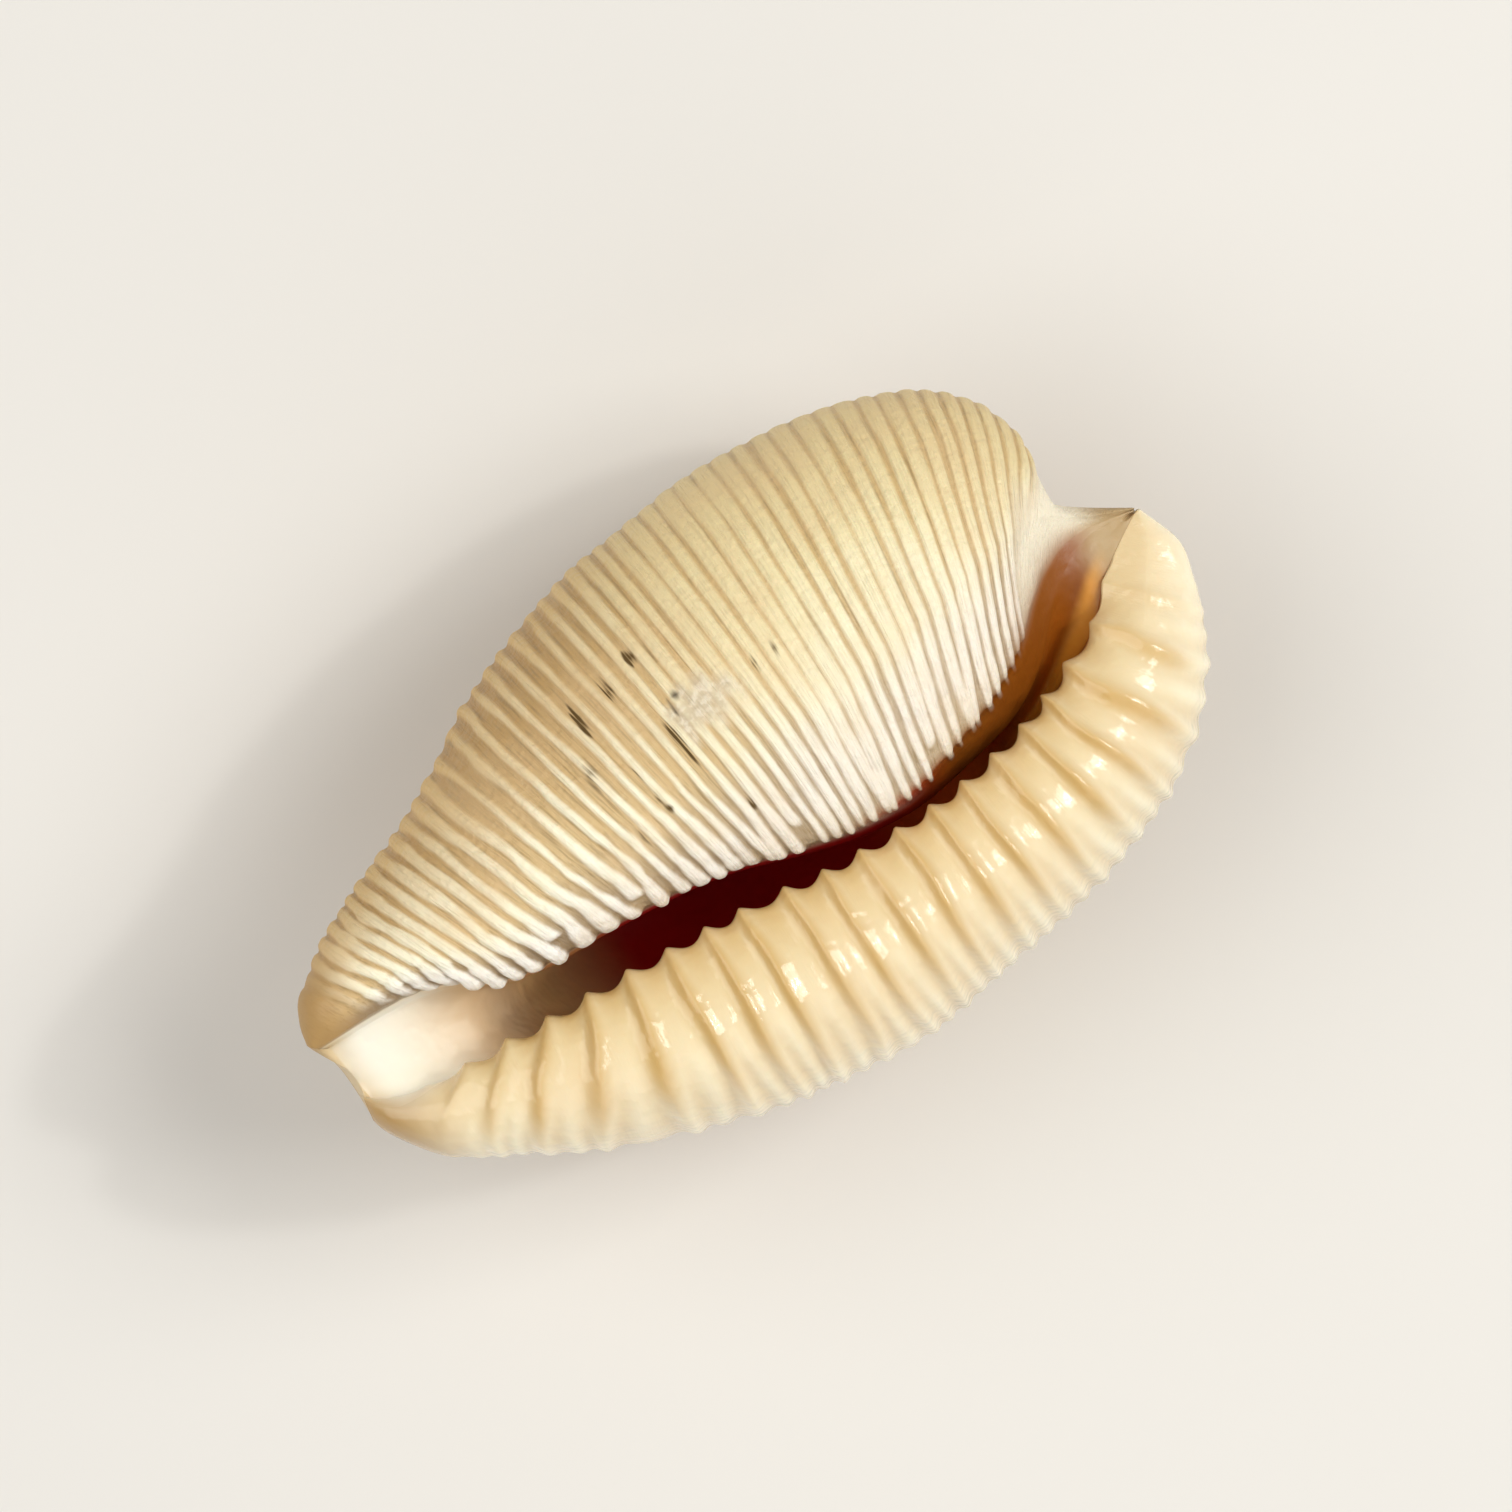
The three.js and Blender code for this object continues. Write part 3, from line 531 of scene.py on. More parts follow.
def relief(rib, station, column):
    """Height over the plain outside, and how much of a point is rib and not groove."""
    if column > OUTER_MARGIN:
        return lip_relief(rib, column)
    ends = smooth(rib, *FIRST_RIBS) * (1 - smooth(rib, *LAST_RIBS))
    height, width = body_rib_form(column)
    slender = smooth(station, *SLENDER_START) * (1 - smooth(station, *SLENDER_END))
    width = lerp(np.maximum(width, BROAD_RIB), width, slender)
    taper = smooth(station, *TAPER_STATIONS) * smooth(-column, -TAPER_COLUMNS[0], -TAPER_COLUMNS[1])
    width = lerp(width, TAPER_WIDTH, taper)
    height = height * lerp(1, TAPER_HEIGHT, taper)
    steady = lerp(1, STEADY_REAR, smooth(station, *STEADY_STATIONS))
    low_rear = lerp(1, REAR_RIB_SHARE, smooth(station, *LOW_STATIONS) * smooth(column, *LOW_COLUMNS))
    each = RIB_HEIGHT_SPREAD * lerp(RIB_END_SPREAD, 1, float(smooth(column, *END_COLUMNS)))
    top = body_ribs(rib, column, each, width, steady)
    plain_edge = lerp(smooth(station, *PLAIN_EDGE_END), 1, smooth(column, EDGE, CREST))
    bare = ends * plain_edge * (1 - callus(station, column))
    body_height, body_crest = bare * low_rear * height * top, bare * np.minimum(top, 1)
    if column < LIP_RIB_COLUMNS[0]:
        return body_height, body_crest
    lip_height, lip_crest = lip_relief(rib, column)
    share = smooth(column, *LIP_RIB_COLUMNS)
    return lerp(body_height, lip_height, share), lerp(body_crest, lip_crest, share)


def outside_grid():
    """Points of the ribbed outside with the fields that the finish is made from."""
    rib = np.arange(RIB_COUNT * ROWS_PER_RIB + 1) / ROWS_PER_RIB
    spans = enumerate(COLUMN_COUNTS, FIRST_COLUMN)
    columns = np.array([span + k / count for span, count in spans for k in range(count)] + [LAST_COLUMN])
    plain = np.stack([plain_outside(station_of(rib, c), c) for c in columns], axis=1)
    outward = np.cross(np.gradient(plain, axis=0), np.gradient(plain, axis=1))
    outward /= np.linalg.norm(outward, axis=2, keepdims=True)
    pairs = [relief(rib, station_of(rib, c), c) for c in columns]
    height = np.stack([pair[0] for pair in pairs], axis=1)
    crest = np.stack([pair[1] for pair in pairs], axis=1)
    station = np.stack([station_of(rib, c) for c in columns], axis=1)
    column = np.broadcast_to(columns, height.shape)
    return rib, plain, outward, height, crest, station, column


# Worn patch on the base: centre and reach, with a small deep pit at its front edge.
WORN_PATCH = (0.5, 3.0, 1.25, 0.85)
PIT = (-0.25, 3.5, 0.09, 0.27)
PIT_ARM = (0.0, 3.68, 0.22, 0.07)
PIT_DEPTH = 0.16
BASE_END = 2.2
PATCH_RANGE = (0.3, 0.8)
WORN_RIB_SHARE = 0.5
WORN_RISE = 0.03
# Dirt in the grooves of the base: x, y, reach along x, reach along y, strength.
DIRT = (
    (-2.75, 4.65, 0.11, 0.5, 1.3), (-3.37, 3.25, 0.17, 0.5, 0.8), (-3.66, 4.1, 0.1, 0.14, 0.4),
    (-3.15, 0.8, 0.1, 0.3, 0.4), (-2.2, 2.37, 0.12, 0.22, 1.0), (-2.1, 1.6, 0.14, 0.4, 0.5),
    (-1.98, 1.05, 0.13, 0.12, 1.1), (-0.63, 2.55, 0.17, 0.7, 0.95), (-0.95, 1.3, 0.12, 0.5, 0.4),
    (-1.14, 4.35, 0.09, 0.2, 0.9), (-0.5, 5.4, 0.22, 0.09, 0.9), (0.12, 5.2, 0.12, 0.17, 0.8),
    (0.15, 2.4, 0.1, 0.3, 0.45), (2.5, 3.15, 0.07, 0.14, 0.9), (3.24, 3.15, 0.12, 0.08, 1.0),
    (0.03, -0.2, 0.09, 0.24, 0.7), (-1.6, 5.0, 0.3, 0.35, 0.5), (1.8, 4.3, 0.1, 0.2, 0.35),
)


def spot(points, x, y, reach_x, reach_y):
    """Soft round mark on the base, seen from above."""
    away = ((points[..., 0] - x) / reach_x) ** 2 + ((points[..., 1] - y) / reach_y) ** 2
    return np.exp(-away)


def wear(plain, height, column):
    """Worn patch: the ribs are broken down to a crumbly face, with one pit."""
    base = (column < BASE_END).astype(float)
    x, y = plain[..., 0], plain[..., 1]
    patch = smooth(spot(plain, *WORN_PATCH) + wander(RAGGED_PATCH, x, y), *PATCH_RANGE) * base
    crumbs = wander(CRUMBS, x, y) + wander(FINE_CRUMBS, x, y)
    pit = np.maximum(spot(plain, *PIT), spot(plain, *PIT_ARM)) * base
    crumbly = height * WORN_RIB_SHARE + WORN_RISE + crumbs
    return lerp(height, crumbly, patch) - PIT_DEPTH * pit, patch, pit


def ring_of(grid_first, rows, columns, start_share, end_share, column_share):
    """Border of a grid: its points, their place round it from 0 to 4, and the point inside of each."""
    def at(row, column):
        return grid_first + row * columns + column

    ring = [(at(r, 0), start_share[r], at(r, 1)) for r in range(rows - 1)]
    ring += [(at(rows - 1, c), 1 + column_share[c], at(rows - 2, c)) for c in range(columns - 1)]
    ring += [(at(r, columns - 1), 3 - end_share[r], at(r, columns - 2)) for r in range(rows - 1, 0, -1)]
    ring += [(at(0, c), 4 - column_share[c], at(1, c)) for c in range(columns - 1, 0, -1)]
    index, share, within = (np.array(values) for values in zip(*ring))
    return index, share, within


def grid_faces(first, rows, columns, flip):
    a = first + (np.arange(rows - 1)[:, None] * columns + np.arange(columns - 1)).ravel()
    quads = np.stack([a, a + columns, a + columns + 1, a + 1], axis=1)
    return (quads[:, ::-1] if flip else quads).tolist()


def join_rings(outer, outer_share, inner, inner_share):
    """Triangles between two rings that start at the same place."""
    faces = []
    i = j = 0
    outer_share, inner_share = np.append(outer_share, 4), np.append(inner_share, 4)
    while i < len(outer) or j < len(inner):
        a, b = outer[i % len(outer)], inner[j % len(inner)]
        if j >= len(inner) or (i < len(outer) and outer_share[i + 1] <= inner_share[j + 1]):
            i += 1
            faces.append((a, b, outer[i % len(outer)]))
        else:
            j += 1
            faces.append((a, b, inner[j % len(inner)]))
    return faces


# Length for the places along the shell, and the form of the rounded rim.
SHELL_LENGTH = 30
RIM_STEPS = 4
RIM_BULGE = 0.05
# Place round the border of a grid at which its front side begins.
FRONT_SIDE = 3


def rim_rings(points, index, share, within, inner_points, inner_share):
    """Rings of the rounded rim, from the border of the outside to the border of the inside."""
    order = np.append(inner_share, 4)
    wrapped = np.vstack([inner_points, inner_points[:1]])
    target = np.stack([np.interp(share, order, wrapped[:, axis]) for axis in range(3)], axis=1)
    start = points[index]
    bulge = start - points[within]
    bulge /= np.linalg.norm(bulge, axis=1, keepdims=True)
    gap = np.linalg.norm(target - start, axis=1, keepdims=True)
    rings = []
    front = (share >= FRONT_SIDE)[:, None]
    for step in range(1, RIM_STEPS + 1):
        turn = math.pi * step / (RIM_STEPS + 1)
        middle = lerp(start, target, (1 - math.cos(turn)) / 2)
        rings.append(middle + front * bulge * gap * RIM_BULGE * math.sin(turn))
    return rings


def lay_on_back(points):
    """Centres the shell over the origin and wears the flat that it rests on."""
    low, high = points.min(axis=0), points.max(axis=0)
    floor = low[2] + WORN_FLAT_DEPTH
    points[:, :2] -= (low[:2] + high[:2]) / 2
    points[:, 2] = np.maximum(points[:, 2], floor) - floor


# Columns over which the finish of the inside begins, on the lip and on the columella.
FRONT_STATIONS = (0.03, 0.18)
FRONT_LIP_GLAZE = (4.9, 6.3)
LIP_GLAZE = (6.1, 6.9)
REAR_STATIONS = (0.66, 0.8)
RIM_STATIONS = (0.82, 0.9)
COLUMELLA_GLAZE = (0.1, 0.9)
REAR_COLUMELLA_GLAZE = (-0.15, 0.3)
RIM_GLAZE_START = -0.75
# Columns at which the callus and the dirt end.
CALLUS_LAST_COLUMN = BACK
DIRT_LAST_COLUMN = MARGIN


def inside_share(station, column):
    """1 where the outside's edges have the finish of the inside, 0 where they have their own."""
    front = smooth(station, *FRONT_STATIONS)
    lip_limits = [lerp(low, high, front) for low, high in zip(FRONT_LIP_GLAZE, LIP_GLAZE)]
    rear, rim = smooth(station, *REAR_STATIONS), smooth(station, *RIM_STATIONS)
    start, end = [lerp(low, high, rear) for low, high in zip(COLUMELLA_GLAZE, REAR_COLUMELLA_GLAZE)]
    columella = smooth(-column, lerp(start, RIM_GLAZE_START, rim), end)
    return np.maximum(columella, smooth(column, *lip_limits))


def add_object(name, data):
    added = bpy.data.objects.new(name, data)
    bpy.context.scene.collection.objects.link(added)
    return added


def make_shell():
    rib, plain, outward, height, crest, station, column = outside_grid()
    height, worn, pit = wear(plain, height, column)
    outer = plain + outward * height[..., None]
    rows, columns = height.shape
    inner_station = np.linspace(INNER_START, INNER_END, INNER_ROWS)
    inner_column = np.linspace(0, GUIDE_SPANS, INNER_COLUMNS)
    inner_share = inner_column / GUIDE_SPANS
    guides = inside_guides(inner_station)
    inner = np.stack([inside_point(guides, c) for c in inner_column], axis=1)
    points = np.vstack([outer.reshape(-1, 3), inner.reshape(-1, 3)])
    inner_first = rows * columns
    column_share = np.arange(columns) / (columns - 1)
    outer_ring = ring_of(0, rows, columns, station[:, 0], station[:, -1], column_share)
    inner_ring = ring_of(inner_first, INNER_ROWS, INNER_COLUMNS, inner_station, inner_station, inner_share)
    rings = rim_rings(points, *outer_ring, points[inner_ring[0]], inner_ring[1])
    faces = grid_faces(0, rows, columns, False) + grid_faces(inner_first, INNER_ROWS, INNER_COLUMNS, True)
    previous = outer_ring[0]
    for ring in rings:
        current = len(points) + np.arange(len(ring))
        points = np.vstack([points, ring])
        after, before = np.roll(current, -1), np.roll(previous, -1)
        faces += np.stack([previous, current, after, before], axis=1).tolist()
        previous = current
    faces += join_rings(previous, outer_ring[1], inner_ring[0], inner_ring[1])

    # Fields on every point. All those of the ribbed outside but one are 0 elsewhere.
    dirt = sum(strength * spot(plain, *mark) for *mark, strength in DIRT)
    speckle = 1 + wander(DIRT_SPECKLE, plain[..., 0], plain[..., 1])
    on_outside = {
        "crest": crest,
        "column": column,
        "worn": worn,
        "pit": pit,
        "callus": callus(station, column) * (column < CALLUS_LAST_COLUMN),
        "inside": inside_share(station, column),
        "dirt": dirt * speckle * (column < DIRT_LAST_COLUMN),
        "rib": np.repeat(rib[:, None], columns, axis=1),
    }
    fields = {name: np.zeros(len(points)) for name in (*on_outside, "deep", "side")}
    for name, values in on_outside.items():
        fields[name][:inner_first] = values.ravel()
    fields["inside"][inner_first:] = 1
    inner_end = inner_first + INNER_ROWS * INNER_COLUMNS
    # Middle of the hollow, which the finish paints lighter as painted light, and its lip side, painted with
    # a glow.
    fields["deep"][inner_first:inner_end] = np.tile(np.sin(np.pi * inner_share) ** 0.5, INNER_ROWS)
    fields["side"][inner_first:inner_end] = np.tile(inner_share, INNER_ROWS)
    fields["along"] = np.clip(points[:, 0] / SHELL_LENGTH + 0.5, 0, 1)
    lay_on_back(points)
    mesh = bpy.data.meshes.new("cowrie")
    mesh.from_pydata((points * MM).tolist(), [], faces)
    mesh.validate()
    for name, values in fields.items():
        mesh.attributes.new(name, "FLOAT", "POINT").data.foreach_set("value", values.astype(np.float32))
    mesh.shade_smooth()
    return add_object("cowrie", mesh)


# Colour sockets of a mix node, and the roughness and fineness of every noise.
MIX_FIRST = 6
MIX_SECOND = 7
MIX_RESULT = 2
NOISE_ROUGHNESS = 0.55
NOISE_DETAIL = 3.0
SOFT_DETAIL = 2.0


class Nodes:
    """Short calls for building a material's node tree."""

    def __init__(self, name):
        self.material = bpy.data.materials.new(name)
        self.material.use_nodes = True
        self.tree = self.material.node_tree
        self.shader = self.tree.nodes["Principled BSDF"]

    def add(self, kind, **settings):
        node = self.tree.nodes.new(kind)
        for name, value in settings.items():
            setattr(node, name, value)
        return node

    def feed(self, socket, value):
        if isinstance(value, bpy.types.NodeSocket):
            self.tree.links.new(value, socket)
        else:
            socket.default_value = value

    def fill(self, node, values):
        for name, value in values.items():
            self.feed(node.inputs[name], value)

    def field(self, name):
        return self.add("ShaderNodeAttribute", attribute_name=name).outputs["Fac"]

    def maths(self, operation, *values):
        node = self.add("ShaderNodeMath", operation=operation)
        for socket, value in zip(node.inputs, values):
            self.feed(socket, value)
        return node.outputs[0]

    def plus(self, first, second):
        return self.maths("ADD", first, second)

    def times(self, first, second):
        return self.maths("MULTIPLY", first, second)

    def ranged(self, value, low, high, to_low=0.0, to_high=1.0):
        node = self.add("ShaderNodeMapRange", interpolation_type="SMOOTHSTEP")
        limits = {"From Min": low, "From Max": high, "To Min": to_low, "To Max": to_high}
        self.fill(node, {"Value": value, **limits})
        return node.outputs["Result"]

    def mix(self, share, first, second):
        node = self.add("ShaderNodeMix", data_type="RGBA")
        self.feed(node.inputs["Factor"], share)
        self.feed(node.inputs[MIX_FIRST], first)
        self.feed(node.inputs[MIX_SECOND], second)
        return node.outputs[MIX_RESULT]

    def noise(self, vector, scale, detail=NOISE_DETAIL):
        node = self.add("ShaderNodeTexNoise")
        self.fill(node, {"Vector": vector, "Scale": scale, "Detail": detail, "Roughness": NOISE_ROUGHNESS})
        return node.outputs["Fac"]

    def combined(self, x, y, z):
        node = self.add("ShaderNodeCombineXYZ")
        for socket, value in zip(node.inputs, (x, y, z)):
            self.feed(socket, value)
        return node.outputs[0]

    def ramp(self, value, stops):
        node = self.add("ShaderNodeValToRGB")
        node.color_ramp.interpolation = "EASE"
        elements = node.color_ramp.elements
        elements[0].position, elements[0].color = stops[0]
        elements[1].position, elements[1].color = stops[-1]
        for place, tone in stops[1:-1]:
            elements.new(place).color = tone
        self.feed(node.inputs["Fac"], value)
        return node.outputs["Color"]


def colour(red, green, blue):
    """Screen colour from 0 to 255 as the linear colour that a shader takes."""
    def linear(value):
        share = value / 255
        return share / 12.92 if share <= 0.04045 else ((share + 0.055) / 1.055) ** 2.4
    return (linear(red), linear(green), linear(blue), 1.0)


# Body: ribs and grooves at the aperture, in the middle and at the margin, slender front and broad rear.
WHITE = colour(248, 243, 234)
REAR_WHITE = colour(248, 238, 222)
EDGE_GROOVE = colour(154, 132, 104)
REAR_EDGE_GROOVE = colour(196, 176, 148)
FRONT_RIB = colour(255, 249, 222)
FRONT_GROOVE = colour(216, 188, 138)
# Margin tones, darker at the front: partly the shell's own tan, partly painted shade on the side away from
# the light.
FRONT_MARGIN_RIB_TAN_AND_SHADE = colour(212, 172, 98)
FRONT_MARGIN_GROOVE_TAN_AND_SHADE = colour(180, 136, 68)
REAR_RIB = colour(252, 242, 200)
REAR_GROOVE = colour(218, 190, 136)
REAR_MARGIN_RIB_TAN_AND_SHADE = colour(230, 204, 144)
REAR_MARGIN_GROOVE_TAN_AND_SHADE = colour(204, 170, 112)
KNOB_TAN = colour(178, 140, 82)
BACK_PALE = colour(226, 194, 142)
BACK_DARK = colour(196, 150, 98)
# Lip, wear and dirt.
LIP_CREAM = colour(255, 245, 216)
# Tan of the lip's ridges: its own tan on the crests, painted shade on the steep flanks and between the
# teeth.
LIP_TAN_AND_SHADE = colour(210, 174, 110)
LIP_INNER = colour(230, 208, 162)
CALLUS_CREAM = colour(250, 240, 216)
CANAL_WHITE = colour(246, 242, 228)
CANAL_RIM = colour(214, 192, 152)
MOTTLE = colour(232, 204, 160)
STREAK = colour(150, 122, 76)
WORN_PALE = colour(234, 222, 198)
WORN_GREY = colour(214, 198, 168)
DIRT_BROWN = colour(92, 68, 26)
PIT_BROWN = colour(60, 44, 22)
# Inside, from the front canal to the rear one.
CANAL_GREY = colour(222, 194, 154)
CANAL_BROWN = colour(220, 156, 92)
DEEP_MAROON = colour(196, 14, 10)
REAR_ORANGE = colour(138, 74, 8)
REAR_AMBER = colour(144, 80, 14)
REAR_RIM = colour(184, 156, 112)
# Painted light: lighter tones for the deep middle of the hollow, where real shade falls.
CANAL_LIT = colour(255, 204, 136)
LIT_DEEP_ORANGE = colour(236, 104, 24)
LIT_DEEP_AMBER = colour(184, 100, 14)
# Painted glow on the lip side of the hollow, standing in for light that comes through the lip.
LIP_GLOW_AMBER = colour(255, 176, 56)
LIP_GLOW_GOLD = colour(226, 156, 56)

# Painted highlight: a thin pale line in the front canal, standing in for the reflection on the crest of a
# fine
# ridge: from and to in metres, and half its width.
GLINT_LINES = (((-0.01119, 0.0001), (-0.0105, -0.00027)), ((-0.0105, -0.00027), (-0.0098, -0.00085)))
GLINT_LINE_WIDTH = 0.00003


def glint_line(coat, start, end):
    """1 on a thin straight line and 0 away from it."""
    length = math.dist(start, end)
    along_x, along_y = (end[0] - start[0]) / length, (end[1] - start[1]) / length
    from_x = coat.maths("SUBTRACT", coat.x, start[0])
    from_y = coat.maths("SUBTRACT", coat.y, start[1])
    along = coat.plus(coat.times(from_x, along_x), coat.times(from_y, along_y))
    off = coat.maths("SUBTRACT", coat.times(from_x, along_y), coat.times(from_y, along_x))
    thin = coat.ranged(coat.maths("ABSOLUTE", off), GLINT_LINE_WIDTH * 2, GLINT_LINE_WIDTH / 2)
    beyond = coat.maths("ABSOLUTE", coat.maths("SUBTRACT", along, length / 2))
    return coat.times(thin, coat.ranged(beyond, length / 2 + GLINT_LINE_WIDTH, length / 2))


# Tones of the inside by place along the shell, from 0 at the front tip to 1 at the rear tip: at its edges,
# in the middle of the hollow, and on the lip side. The middle is painted lighter than the edges, painted
# light where shade falls deep inside, and the lip side lighter still, a painted glow of light coming through
# the lip.
EDGE_TONES = [
    (0.0, KNOB_TAN), (0.018, CANAL_RIM), (0.055, CANAL_WHITE), (0.11, CANAL_WHITE), (0.17, CANAL_GREY),
    (0.26, CANAL_BROWN), (0.33, DEEP_MAROON), (0.58, DEEP_MAROON), (0.7, REAR_AMBER), (0.83, REAR_ORANGE),
    (0.9, REAR_AMBER), (0.94, REAR_RIM),
]
LIT_HOLLOW_TONES = [
    (0.0, CANAL_RIM), (0.05, CANAL_WHITE), (0.17, CANAL_GREY), (0.22, CANAL_LIT), (0.32, DEEP_MAROON),
    (0.56, DEEP_MAROON), (0.66, LIT_DEEP_ORANGE),
]
LIT_MIDDLE_TONES = LIT_HOLLOW_TONES + [(0.8, LIT_DEEP_AMBER), (0.89, REAR_ORANGE), (0.935, REAR_RIM)]
GLOW_TONES = LIT_HOLLOW_TONES + [(0.8, LIP_GLOW_AMBER), (0.89, LIP_GLOW_GOLD), (0.935, REAR_RIM)]
GLOW_SIDE = (0.4, 0.75)

# Textures: steps a rib and a column for the fine lines and the slow blotches, and the others' scales.
LINE_STEPS = (7.0, 4.0)
BLOTCH_STEPS = (0.35, 0.7)
CLOUD_SCALE = 330.0
GRAIN_SCALE = 3600.0
WAVE_SCALE = 900.0
# Body: the columns and places along the shell over which its tones change, and how clouds move them.
TO_MARGIN = (1.05, 2.2)
MARGIN_CLOUD = 0.5
TO_REAR = (0.42, 0.64)
REAR_CLOUD = 0.06
FRONT_TO_EDGE = (1.2, 0.5)
REAR_TO_EDGE = (1.45, 0.75)
EDGE_CLOUD = 0.3
RIB_TONE = (0.3, 0.95)
RIB_LINES = 0.3
STREAK_LINES = (0.47, 0.7)
STREAK_ON_RIBS = (0.8, 0.2, 0.15, 0.6)
# Back, lip, knob and callus.
BACK_START = (2.0, 2.6)
BACK_END = (4.1, 3.4)
BACK_BLOTCH = (0.42, 0.62)
BACK_SHARE = 0.85
LIP_INWARD = (4.2, 5.4)
TO_LIP = (3.7, 4.2)
MOTTLING = (0.4, 0.7, 0.0, 0.3)
TO_KNOB = (0.09, 0.02, 0.0, 0.9)
TO_REAR_TIP = (0.915, 0.955)
# Amber between the thin tips of the rear ribs.
TIP_COLUMNS = (0.3, -0.05)
TIP_GROOVES = (0.8, 0.3)
TIP_START = (0.55, 0.66)
TIP_END = (0.86, 0.8)
# Worn patch, dirt and pit.
WORN_GRAIN = (0.4, 0.6)
DIRT_IN_GROOVES = (0.75, 0.15, 0.35, 1.0)
DIRT_LINES = (0.35, 0.6, 0.35, 1.7)
DIRT_TONE = (0.1, 0.75)
PIT_TONE = (0.25, 0.7)
# Gloss: the ribbed body is satin, the lip and the canals are glazed.
GLAZE_COLUMNS = (3.2, 3.8)
SATIN_TO_GLAZED = (0.0, 1.0, 0.45, 0.12)
INSIDE_ROUGHER = 0.3
CLOUD_ROUGHNESS = (0.3, 0.7, -0.03, 0.06)
DULL_DIRT = (0.1, 0.6)
DULLER = 0.4
SHELL_IOR = 1.53
SCATTER_WEIGHT = 0.12
SCATTER_RADIUS = (1.0, 0.6, 0.35)
SCATTER_SCALE = 0.0006
# Bumps: how much grain joins the lines, how they fade on the glaze and at the front tip, and the low waves.
GRAIN_SHARE = 1.1
BUMP_ON_GLAZE = (0.0, 1.0, 1.0, 0.1)
BUMP_AT_TIP = (0.05, 0.12, 0.15, 1.0)
BUMP_STRENGTH = 0.7
BUMP_DEPTH = 0.00011
WAVE_STRENGTH = (0.0, 1.0, 0.2, 0.5)
WAVE_DEPTH = 0.0002


class Coat(Nodes):
    """The shell's material, with the fields and textures that the parts of its finish share."""

    def __init__(self, name):
        super().__init__(name)
        self.place = self.add("ShaderNodeTexCoord").outputs["Object"]
        split = self.add("ShaderNodeSeparateXYZ")
        self.feed(split.inputs[0], self.place)
        self.x, self.y = split.outputs[0], split.outputs[1]
        self.crest, self.column = self.field("crest"), self.field("column")
        self.inside, self.along = self.field("inside"), self.field("along")
        self.lines = self.noise(self.over_ribs(LINE_STEPS), 1.0)
        self.blotch = self.noise(self.over_ribs(BLOTCH_STEPS), 1.0, SOFT_DETAIL)
        self.cloud = self.noise(self.place, CLOUD_SCALE)
        self.grain = self.noise(self.place, GRAIN_SCALE)

    def over_ribs(self, steps):
        """Texture place that follows the ribs."""
        return self.combined(self.times(self.field("rib"), steps[0]), self.times(self.column, steps[1]), 0.0)


def body_tone(coat):
    """White at the aperture, tan with painted shade at the margin, darkest at the front, yellowish cream at
    the rear, warm tan on the back.
    """
    to_margin = coat.ranged(coat.plus(coat.column, coat.times(coat.cloud, MARGIN_CLOUD)), *TO_MARGIN)
    rear = coat.ranged(coat.plus(coat.along, coat.times(coat.cloud, REAR_CLOUD)), *TO_REAR)
    clouded = coat.plus(coat.column, coat.times(coat.cloud, EDGE_CLOUD))
    edge_limits = [coat.ranged(rear, 0.0, 1.0, *ends) for ends in zip(FRONT_TO_EDGE, REAR_TO_EDGE)]
    to_edge = coat.ranged(clouded, *edge_limits)
    # Towards the margin the tones darken: partly the shell's own tan, partly painted shade on the side away
    # from light.
    front_rib = coat.mix(to_margin, FRONT_RIB, FRONT_MARGIN_RIB_TAN_AND_SHADE)
    rear_rib = coat.mix(to_margin, REAR_RIB, REAR_MARGIN_RIB_TAN_AND_SHADE)
    front_groove = coat.mix(to_margin, FRONT_GROOVE, FRONT_MARGIN_GROOVE_TAN_AND_SHADE)
    rear_groove = coat.mix(to_margin, REAR_GROOVE, REAR_MARGIN_GROOVE_TAN_AND_SHADE)
    rib_tone = coat.mix(to_edge, coat.mix(rear, front_rib, rear_rib), coat.mix(rear, WHITE, REAR_WHITE))
    edge_groove = coat.mix(rear, EDGE_GROOVE, REAR_EDGE_GROOVE)
    groove_tone = coat.mix(to_edge, coat.mix(rear, front_groove, rear_groove), edge_groove)
    rib_share = coat.ranged(coat.plus(coat.crest, coat.times(coat.lines, RIB_LINES)), *RIB_TONE)
    body = coat.mix(rib_share, groove_tone, rib_tone)
    streaks = coat.times(coat.ranged(coat.lines, *STREAK_LINES), coat.ranged(coat.crest, *STREAK_ON_RIBS))
    body = coat.mix(streaks, body, STREAK)
    over_back = coat.times(coat.ranged(coat.column, *BACK_START), coat.ranged(coat.column, *BACK_END))
    back = coat.mix(coat.ranged(coat.blotch, *BACK_BLOTCH), BACK_PALE, BACK_DARK)
    return coat.mix(coat.times(over_back, BACK_SHARE), body, back)


def outside_tone(coat):
    """Body and cream lip with a tan band, partly painted shade, in front of every ridge, then knob, callus
    and worn patch.
    """
    lip = coat.mix(coat.ranged(coat.column, *LIP_INWARD), LIP_CREAM, LIP_INNER)
    # Tan bands of the lip: partly its own tan, partly painted shade on steep flanks and in the hollows
    # between teeth.
    lip = coat.mix(coat.crest, LIP_TAN_AND_SHADE, lip)
    tone = coat.mix(coat.ranged(coat.column, *TO_LIP), body_tone(coat), lip)
    tone = coat.mix(coat.ranged(coat.cloud, *MOTTLING), tone, MOTTLE)
    tone = coat.mix(coat.ranged(coat.along, *TO_KNOB), tone, KNOB_TAN)
    tip = coat.mix(coat.ranged(coat.along, *TO_REAR_TIP), CALLUS_CREAM, REAR_RIM)
    tone = coat.mix(coat.field("callus"), tone, tip)
    worn = coat.mix(coat.ranged(coat.grain, *WORN_GRAIN), WORN_GREY, WORN_PALE)
    return coat.mix(coat.field("worn"), tone, worn)


